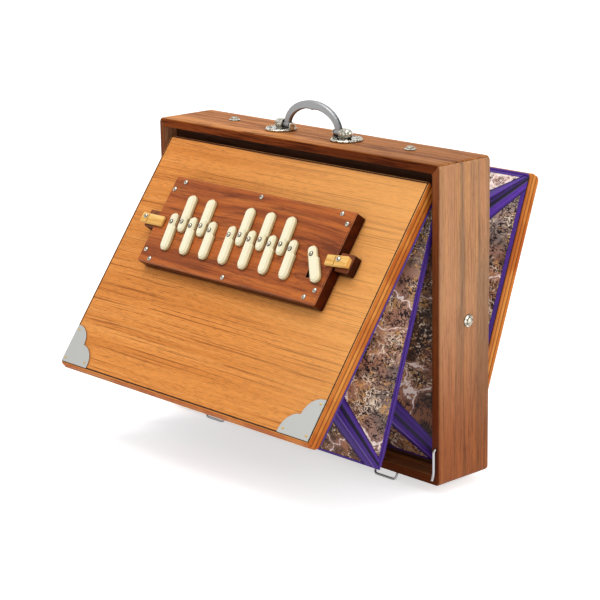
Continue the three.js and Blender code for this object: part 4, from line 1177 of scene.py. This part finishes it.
def sweep(solid, path, section, across):
    """Carries a closed section along a path. A section point is (in the bend's plane, along across)."""
    base, count = len(solid.points), len(section)
    run = 0.0
    for i, point in enumerate(path):
        before = (point - path[i - 1]).normalized() if i else None
        after = (path[i + 1] - point).normalized() if i + 1 < len(path) else None
        way = ((before or after) + (after or before)).normalized()
        side = across.cross(way).normalized()
        widen = 1 / max(0.3, way.dot(after or before))
        run += (point - path[i - 1]).length * MM if i else 0
        for j, (a, b) in enumerate(section):
            solid.points.append((point + side * a * widen + across * b) * MM)
            solid.flat.append((j / count * 0.01, run, 0.6))
    for i in range(len(path) - 1):
        for j in range(count):
            corners = [(i, j), (i + 1, j), (i + 1, (j + 1) % count), (i, (j + 1) % count)]
            solid.faces.append([base + a * count + b for a, b in corners])
    solid.faces.append([base + j for j in range(count)])
    solid.faces.append([base + (len(path) - 1) * count + j for j in reversed(range(count))])


def rounded_section(width, height, radius, steps=3):
    section = []
    for turn, (sx, sy) in enumerate(((1, 1), (-1, 1), (-1, -1), (1, -1))):
        for k in range(steps + 1):
            angle = radians(90 * (turn + k / steps))
            x = sx * (width / 2 - radius) + radius * cos(angle)
            section.append((x, sy * (height / 2 - radius) + radius * sin(angle)))
    return section


def board_place(which, angle=None):
    """The frame of a board: X along the hinge, Z along the board, Y out through its rear."""
    y, z, open_angle = HINGES[which]
    lean = -radians(open_angle if angle is None else angle)
    return Matrix.Translation((0, y, z)) @ Matrix.Rotation(lean, 4, "X")


print("a round section has", len(rounded_section(2, 2, 1)), "points")

# %% [markdown]
# ## The ridge between the two front pleats
# Where the two front pleats meet, a flat wooden frame is bound in leather. It is the one long purple
# line down the side of the open box. The binding is pasted round the frame, so its edges are round.

# %% Ridge
fold_angle = 18.447
ridge_place = board_place("front", fold_angle)
ridge_x, ridge_top, ridge_foot, ridge_offset = 184, -3, -263, 4.5
ridge_corners = [(-ridge_x, ridge_top), (-ridge_x, ridge_foot), (ridge_x, ridge_foot), (ridge_x, ridge_top)]
flat_path = []
for (x0, z0), (x1, z1) in zip(ridge_corners, ridge_corners[1:]):
    flat_path += [(x0 + (x1 - x0) * share, z0 + (z1 - z0) * share) for share in even(0, 1, 12)[:-1]]
flat_path.append(ridge_corners[-1])
ridge_path = [ridge_place @ Vector((x, ridge_offset, z)) for x, z in flat_path]
ridge = Solid()
sweep(ridge, ridge_path, rounded_section(6, 2.2, 1.0), ridge_place.to_3x3() @ Vector((0, 1, 0)))
ridge_piece = ridge.piece("ridge_binding", purple_leather, "purple_leather")
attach(ridge_piece, "front_fold")
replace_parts(ridge_piece, "fold_binding")
print("ridge:", 2 * (ridge_x - ridge_foot), "mm of binding")

# %% [markdown]
# ## The welt on the rear board
# At the free end of the rear board the leather isn't flat: it is turned over the rim of the board and
# stands up as a soft round welt. A flat tape would leave the rim bare, so the welt is a bar of its own.

# %% Rear welt
welt_x, welt_height, welt_off = 185, 266.9, -1.25
welt_path = [board_place("rear") @ Vector((x, welt_off, welt_height)) for x in even(-welt_x, welt_x, 24)]
welt = Solid()
sweep(welt, welt_path, rounded_section(3.2, 2.3, 1.1), outward_of("rear"))
welt_piece = welt.piece("rear_welt", purple_leather, "purple_leather")
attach(welt_piece, "rear_board")
print("welt:", 2 * welt_x, "mm")

# %% [markdown]
# ## Leather along the hinges
# A strip of leather closes the bellows along each hinge, one half on the case and one on the board.
# One strip can't follow two parts, so each half is its own strip, and both are thin at the joint.
# The half on the case starts a little inward, so that the two don't meet when the board closes.

# %% Hinge leathers
hinge_half, board_reach = 170, 14.5
hinge_hide_thickness, hinge_hide_rise = 0.7, 1.1


def hinge_leather(which, case_reach, case_side):
    y, z, angle = HINGES[which]
    inward = -outward_of(which)
    board_way = leaning(which, radians(angle))
    halves = (
        ("case", Vector((0, case_side, 0)), case_reach, inward * 1.6, Vector((0, 0, SIDE[which]))),
        (f"{which}_board", board_way, board_reach, board_way * 0.8, inward),
    )
    pieces = []
    for body, along, reach, shift, lift_way in halves:
        start = Vector((0, y, z)) + shift
        column = [start + along * share * reach for share in (0, 0.5, 1)]
        rows = [[p + Vector((x, 0, 0)) for p in column] for x in even(-hinge_half, hinge_half, 12)]
        strip = Solid()
        strip.leaf(rows, lift_way, hinge_hide_thickness, hinge_hide_rise, (0, 0), 0.5)
        made = strip.piece(f"{which}_hinge_leather_on_{body}", purple_leather, "purple_leather")
        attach(made, body)
        pieces.append(made)
    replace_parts(pieces[0], f"{which}_hinge_strip")
    return pieces


hinge_leathers = hinge_leather("front", 13.5, 1) + hinge_leather("rear", 7.6, -1)
print("hinge leathers:", [made.name for made in hinge_leathers])

# %% [markdown]
# ## Spring wires
# A V of spring wire with a coil near the hinge pushes each board open. One foot stands on the
# partition and the other on the board. The coil and the first leg stay with the case. The second
# leg is bent from there to the board, in two pieces in front, where the frame of the ridge moves
# between the two.

# %% Springs
wire_radius = 1
leg_length = 139
coil_drop, coil_radius, coil_turns, coil_pitch, coil_steps = 24, 3.2, 2.5, 2.3, 35
partition_faces = {"front": 0, "rear": 10}


def wire_section(radius, sides=8):
    turns = [2 * pi * k / sides for k in range(sides)]
    return [(radius * cos(turn), radius * sin(turn)) for turn in turns]


def coil_path(x, y, z, start):
    path = []
    for share in even(0, 1, coil_steps):
        angle = start + 2 * pi * coil_turns * share
        drift = coil_pitch * coil_turns * (share - 0.5)
        path.append(Vector((x + drift, y + coil_radius * cos(angle), z + coil_radius * sin(angle))))
    return path


def spring(name, x, which, bends):
    """A bend is its two bodies, where it starts and ends along the second leg, and where along the
    leg a point follows the second body alone; the two bodies and that last place are not used."""
    y, z, angle = HINGES[which]
    side, wall = SIDE[which], partition_faces[which]
    standing = wire_radius + 0.3
    wall_foot = Vector((x, wall + side * standing, z + side * leg_length))
    board_foot = Vector((x, y, z)) + leaning(which, radians(angle)) * leg_length
    board_foot -= outward_of(which) * standing
    across = Vector((1, 0, 0))
    steel_wire = Solid()
    path = coil_path(x, (y + wall) / 2, z + side * coil_drop, 0 if which == "rear" else pi)
    sweep(steel_wire, [wall_foot, *path], wire_section(wire_radius), across)
    made = steel_wire.piece(name, steel, "steel", sharp=60)
    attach(made, "case")
    leg_from = path[-1]
    for number, (first, second, start, end, settled) in enumerate(bends):
        leg = Solid()
        part = [leg_from.lerp(board_foot, share) for share in even(start, end, 6)]
        sweep(leg, part, wire_section(wire_radius - 0.02), across)
        leg_piece = leg.piece(f"{name}_leg_{number + 1}", steel, "steel", sharp=60)
        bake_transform(leg_piece)
    return made


front_bends = [("case", "front_fold", 0, 0.26, 0.26), ("front_fold", "front_board", 0.26, 1, 0.55)]
for side, x in (("left", -141), ("right", 141)):
    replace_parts(spring(f"spring_{side}", x, "front", front_bends), f"front_spring_{side}")
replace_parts(spring("spring_rear", 0, "rear", [("case", "rear_board", 0, 1, 0.5)]), "rear_spring")

# %% [markdown]
# ## Valve flaps
# Soft leather flaps lie over the rows of air holes and let air through one way only. Each is held
# along its top edge, so the free edge curls a little.

# %% Flaps
flap_half, flap_height, flap_curl = 48, 30, 0.25
flap_thickness, flap_rise = 1.1, 0.9


def flap(name, body, place, centre_x, middle_z):
    top = middle_z + flap_height / 2
    rows = []
    for x in even(-flap_half, flap_half, 10):
        wave = flap_curl * (1 + 0.5 * sin(0.11 * x + 1))
        column = [(centre_x + x, -0.5 - wave * s**2, top - flap_height * s) for s in even(0, 1, 5)]
        rows.append([place @ Vector(point) for point in column])
    skin = Solid()
    skin.leaf(rows, place.to_3x3() @ Vector((0, -1, 0)), flap_thickness, flap_rise, (0, 0), 0.5)
    made = skin.piece(name, pale_leather, "pale_leather")
    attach(made, body)
    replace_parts(made, body)
    return made


level = Matrix.Identity(4)
for side, x in (("left", -90), ("right", 90)):
    flap(f"flap_{side}", f"valve_flap_{side}", level, x, 113.5)
flap("flap_inlet", "inlet_flap", board_place("rear"), 0, 66)

# %% [markdown]
# ## Slotted screws and nails
# Round-headed slotted screws hold the plate and serve as pivots for the keys, and small brass nails
# hold the corner plates. A head is a dome of points with its middle columns sunk for the slot. The
# slots are turned as the screwdriver left them, which is at random but always the same here.

# %% Screw heads


def head(solid, place, radius, rise, slot=0.0, turn=0.0, sink=0.3):
    """A domed head at a place whose Z looks out. slot is the slot's width, or 0 for a nail."""
    half = slot / 2
    shares = (0.996, 0.9, 0.72, 0.45)
    columns = [(-share * radius, False) for share in shares]
    columns += [(-half, False), (-half, True), (half, True), (half, False)] if slot else [(0, False)]
    columns += [(share * radius, False) for share in reversed(shares)]
    spin = place @ Matrix.Rotation(turn, 4, "Z")
    upper, lower = [], []
    for x, sunk in columns:
        reach = sqrt(radius**2 - x**2)
        upper.append([])
        for y in [share * reach for share in (-1, -0.8, -0.45, 0, 0.45, 0.8, 1)]:
            height = rise * sqrt(max(0, 1 - (x**2 + y**2) / (1.08 * radius) ** 2))
            upper[-1].append((x, y, min(height, rise * 0.45) if sunk else height))
        lower.append([spin @ Vector((x, y, -sink)) for x, y, _ in upper[-1]])
    solid.slab([[spin @ Vector(point) for point in row] for row in upper], lower)


def on_board(x, off, drop):
    """A place on the front board whose Z looks out: off from the inner face, drop from the hinge."""
    return board_place("front") @ Matrix.Translation((x, -off, -drop)) @ Matrix.Rotation(pi / 2, 4, "X")


# Each kind of head: its radius, its rise and, where it has one, the width of its slot.
HEADS = {
    "screw": (2.5, 1.5, 0.7),
    "key screw": (2.0, 1.2, 0.6),
    "nail": (1.2, 0.6),
    "cup screw": (3.75, 2.25, 0.9),
    "bead": (0.95, 0.8),
    "rim nail": (1.6, 0.9, 0.5),
}
dice = random.Random(7)
glue_line, plate_thickness = 0.2, 13.4
plate_face = BOARD_THICKNESS + glue_line + plate_thickness
plate_screw_places = [
    (-114.3, 53), (-125.4, 62.5), (0.5, 52), (114.1, 52), (125.6, 61),
    (124, 130.6), (114.4, 139.2), (-0.4, 140.5), (-113.5, 140.2), (-124.8, 131.5),
]  # fmt: skip
plate_screws = Solid()
for x, drop in plate_screw_places:
    head(plate_screws, on_board(x, plate_face, drop), *HEADS["screw"], dice.uniform(0, pi))
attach(plate_screws.piece("plate_screws", screw_nickel, "nickel"), "front_board")
print("plate screws:", len(plate_screw_places))

# %% [markdown]
# ## Pivot screws of the keys
# A screw goes through each key into the plate, and a small dark ring under its head paints the shadow
# round it. The screw stands still while the key turns about it, so it belongs to the board and not to the
# key.

# %% Pivot screws
# Painted shadow: the dark ring round each pivot screw.
shadow_ring_tone, tree, shader = material("shadow_ring_tone", 0.5, Metallic=0.6)
speckle = noise(place_on(tree), 1500.0, 3.0)
joined(shader, Base_Color=mix(speckle, colour(60, 44, 30), colour(96, 74, 52)))
joined(shader, Roughness=added(speckle, 0.2, 0.4), Normal=bump(speckle, 0.1, 0.0001))

felt, key_thickness, ring_radius, ring_rise = 0.3, 5, 2.6, 0.35
key_top = plate_face + felt + key_thickness
pitch = 29.4
row_start = 1.8 - 7 * pitch / 2
pivots = [(row_start + i * pitch, 98.4) for i in range(8)]
pivots += [(row_start + (i + 0.5) * pitch, 96.1) for i in (0, 1, 3, 4, 5)]
key_screws, shadow_rings = Solid(), Solid()
for x, drop in pivots:
    screw_place = on_board(x - 0.8, key_top + ring_rise, drop)
    head(key_screws, screw_place, *HEADS["key screw"], dice.uniform(0, pi))
    # A dark ring under each head, a painted shadow.
    head(shadow_rings, on_board(x - 0.8, key_top, drop), ring_radius, ring_rise)
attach(key_screws.piece("key_screws", screw_nickel, "nickel"), "front_board")
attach(shadow_rings.piece("key_shadow_rings", shadow_ring_tone, "steel"), "front_board")
print("pivot screws:", len(pivots))

# %% [markdown]
# ## Button screws, nails and cup screws
# One screw holds each turn button near its outer end, and three brass nails hold each corner plate.
# The screws through the case sit in cup washers, and their domes carry a slot, which is added here
# as a slightly larger slotted dome over the plain one.

# %% Smaller fastenings
button_thickness, corner_plate_thickness = 3.4, 1
button_top = plate_face + felt + button_thickness
for side, x, drop in (("left", -144.5, 98.3), ("right", 138.7, 97)):
    button_screw = Solid()
    head(button_screw, on_board(x, button_top, drop), *HEADS["screw"], dice.uniform(0, pi))
    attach(button_screw.piece(f"button_screw_{side}", screw_nickel, "nickel"), f"turn_button_{side}")

corner_x, corner_z = 185.1, 264.7
corner_face = BOARD_THICKNESS + glue_line + corner_plate_thickness
nails = Solid()
for side in (-1, 1):
    for in_x, in_z in ((4.3, 36), (35.5, 4.6), (4.0, 4.3)):
        nail_place = on_board(side * (corner_x - in_x), corner_face, corner_z - in_z)
        head(nails, nail_place, *HEADS["nail"])
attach(nails.piece("corner_nails", brass, "nickel"), "front_board")

wall_middle = 5
cup_places = [Matrix.Translation((side * 127, wall_middle, 311.7)) for side in (-1, 1)]
for side in (-1, 1):
    sideways = Matrix.Rotation(side * pi / 2, 4, "Y")
    cup_places.append(Matrix.Translation((side * 204.2, wall_middle, 156)) @ sideways)
cup_heads = Solid()
for place in cup_places:
    head(cup_heads, place, *HEADS["cup screw"], dice.uniform(0, pi), sink=0.1)
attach(cup_heads.piece("cup_screw_heads", screw_nickel, "nickel"), "case")
print("cup screws:", len(cup_places), "and two button screws")

# %% [markdown]
# ## Beaded rims of the handle mounts
# Each mount is a stamped disc with a rope of small beads round its rim, and four tiny nails between
# the rim and the pivot. They are stamped in one with the disc on the real mount, so they stay
# with the case.

# %% Beads
bead_count = 44
mount_x, mount_y, mount_top = 47.5, -2, 310.3 + 2
rim_ring, nail_ring = 14.6, 10.6
beads = Solid()
for side in (-1, 1):
    centre = Vector((side * mount_x, mount_y, mount_top))
    stamped = [("bead", rim_ring, 2 * pi * k / bead_count, 0) for k in range(bead_count)]
    stamped += [("rim nail", nail_ring, angle, angle) for angle in [radians(45 + 90 * k) for k in range(4)]]
    for kind, ring, angle, turn in stamped:
        spot = centre + Vector((ring * cos(angle), ring * sin(angle), -0.1))
        head(beads, Matrix.Translation(spot), *HEADS[kind], turn=turn, sink=0.2)
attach(beads.piece("mount_beads", bright_nickel, "nickel"), "case")
print("beads round each mount:", bead_count)

# %% [markdown]
# ## Dark lines round the board's face
# A thin dark line runs round the face of the front board just inside its moulded edge. Here it is
# four thin dark slips with mitred corners.

# %% Dark face line
line_wood = wood("line_wood", [(60, 32, 18), (44, 24, 14), (72, 40, 24), (28, 16, 10)], gloss=0.4)
face_x, face_high, face_low = 185.2, -1.6, -264.6
half_line, line_depth, line_rise = 0.7, -14.6, 0.14
corners = [(-face_x, face_high), (-face_x, face_low), (face_x, face_low), (face_x, face_high)]
stringing = Solid()
for ends in zip(corners, corners[1:] + corners[:1]):
    rows = []
    for x, z in ends:
        out_x, out_z = copysign(half_line, x), half_line if z == face_high else -half_line
        row = [Vector((x + way * out_x, line_depth, z + way * out_z)) for way in (-1, 1)]
        rows.append([board_place("front") @ point for point in row])
    raised = outward_of("front") * line_rise
    stringing.slab([[point + raised for point in row] for row in rows], rows)
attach(stringing.piece("stringing", line_wood, "dark_walnut"), "front_board")
print("stringing:", round(2 * (2 * face_x + face_high - face_low)), "mm")

# %% [markdown]
# ## Floor
# The box stands on a plain pale floor. To the camera, and in mirrors, the floor is lifted to white, so
# that it has no horizon, yet it still darkens where the box shades it.

# %% Floor


def seen_directly(tree):
    """1 where the camera looks, itself, by a mirror or through glass, and 0 for light on its way."""
    rays = [source(tree, "LightPath", f"Is {kind} Ray") for kind in ("Camera", "Glossy", "Transmission")]
    return larger(larger(rays[0], rays[1]), rays[2])


half = 8
floor_lift = 0.6
ground_z = cad_box[0].z - 0.0002
corners = [(x * half, y * half, ground_z) for x, y in ((-1, -1), (1, -1), (1, 1), (-1, 1))]
floor_mesh = bpy.data.meshes.new("floor")
floor_mesh.from_pydata(corners, [], [(0, 1, 2, 3)])
floor = in_scene("floor", floor_mesh)
floor_finish, tree, shader = material("floor_finish", 0.8, Specular_IOR_Level=0.2)
shader["Base Color"].default_value = (0.93, 0.93, 0.93, 1)
shader["Emission Color"].default_value = (1, 1, 1, 1)
joined(shader, Emission_Strength=times(seen_directly(tree), floor_lift))
floor_mesh.materials.append(floor_finish)
print("floor at", round(ground_z / MM, 1), "mm")

# %% [markdown]
# ## Studio light
# A white room gives most of the light. One large softbox above and one beside the camera shape the
# box, at a level where every colour looks about as it was mixed.

# %% Studio light
room_level = 0.6
world = bpy.data.worlds.new("studio")
bpy.context.scene.world = world
world.use_nodes = True
background = world.node_tree.nodes["Background"].inputs
joined(background, Strength=added(seen_directly(world.node_tree), 1 - room_level, room_level))
background["Color"].default_value = (1, 1, 1, 1)


def softbox(name, place, size, watts):
    lamp = in_scene(name, bpy.data.lights.new(name, "AREA"))
    lamp.location = place
    lamp.rotation_mode = "QUATERNION"
    lamp.rotation_quaternion = (Vector((0, 0, 0.15)) - Vector(place)).to_track_quat("-Z", "Y")
    lamp.data.shape = "RECTANGLE"
    lamp.data.size = size
    lamp.data.size_y = size
    lamp.data.energy = watts


softbox("top_light", (-0.2, -0.7, 2.3), 1.5, 26)
softbox("side_light", (2.4, 0.3, 1.1), 1.4, 18)
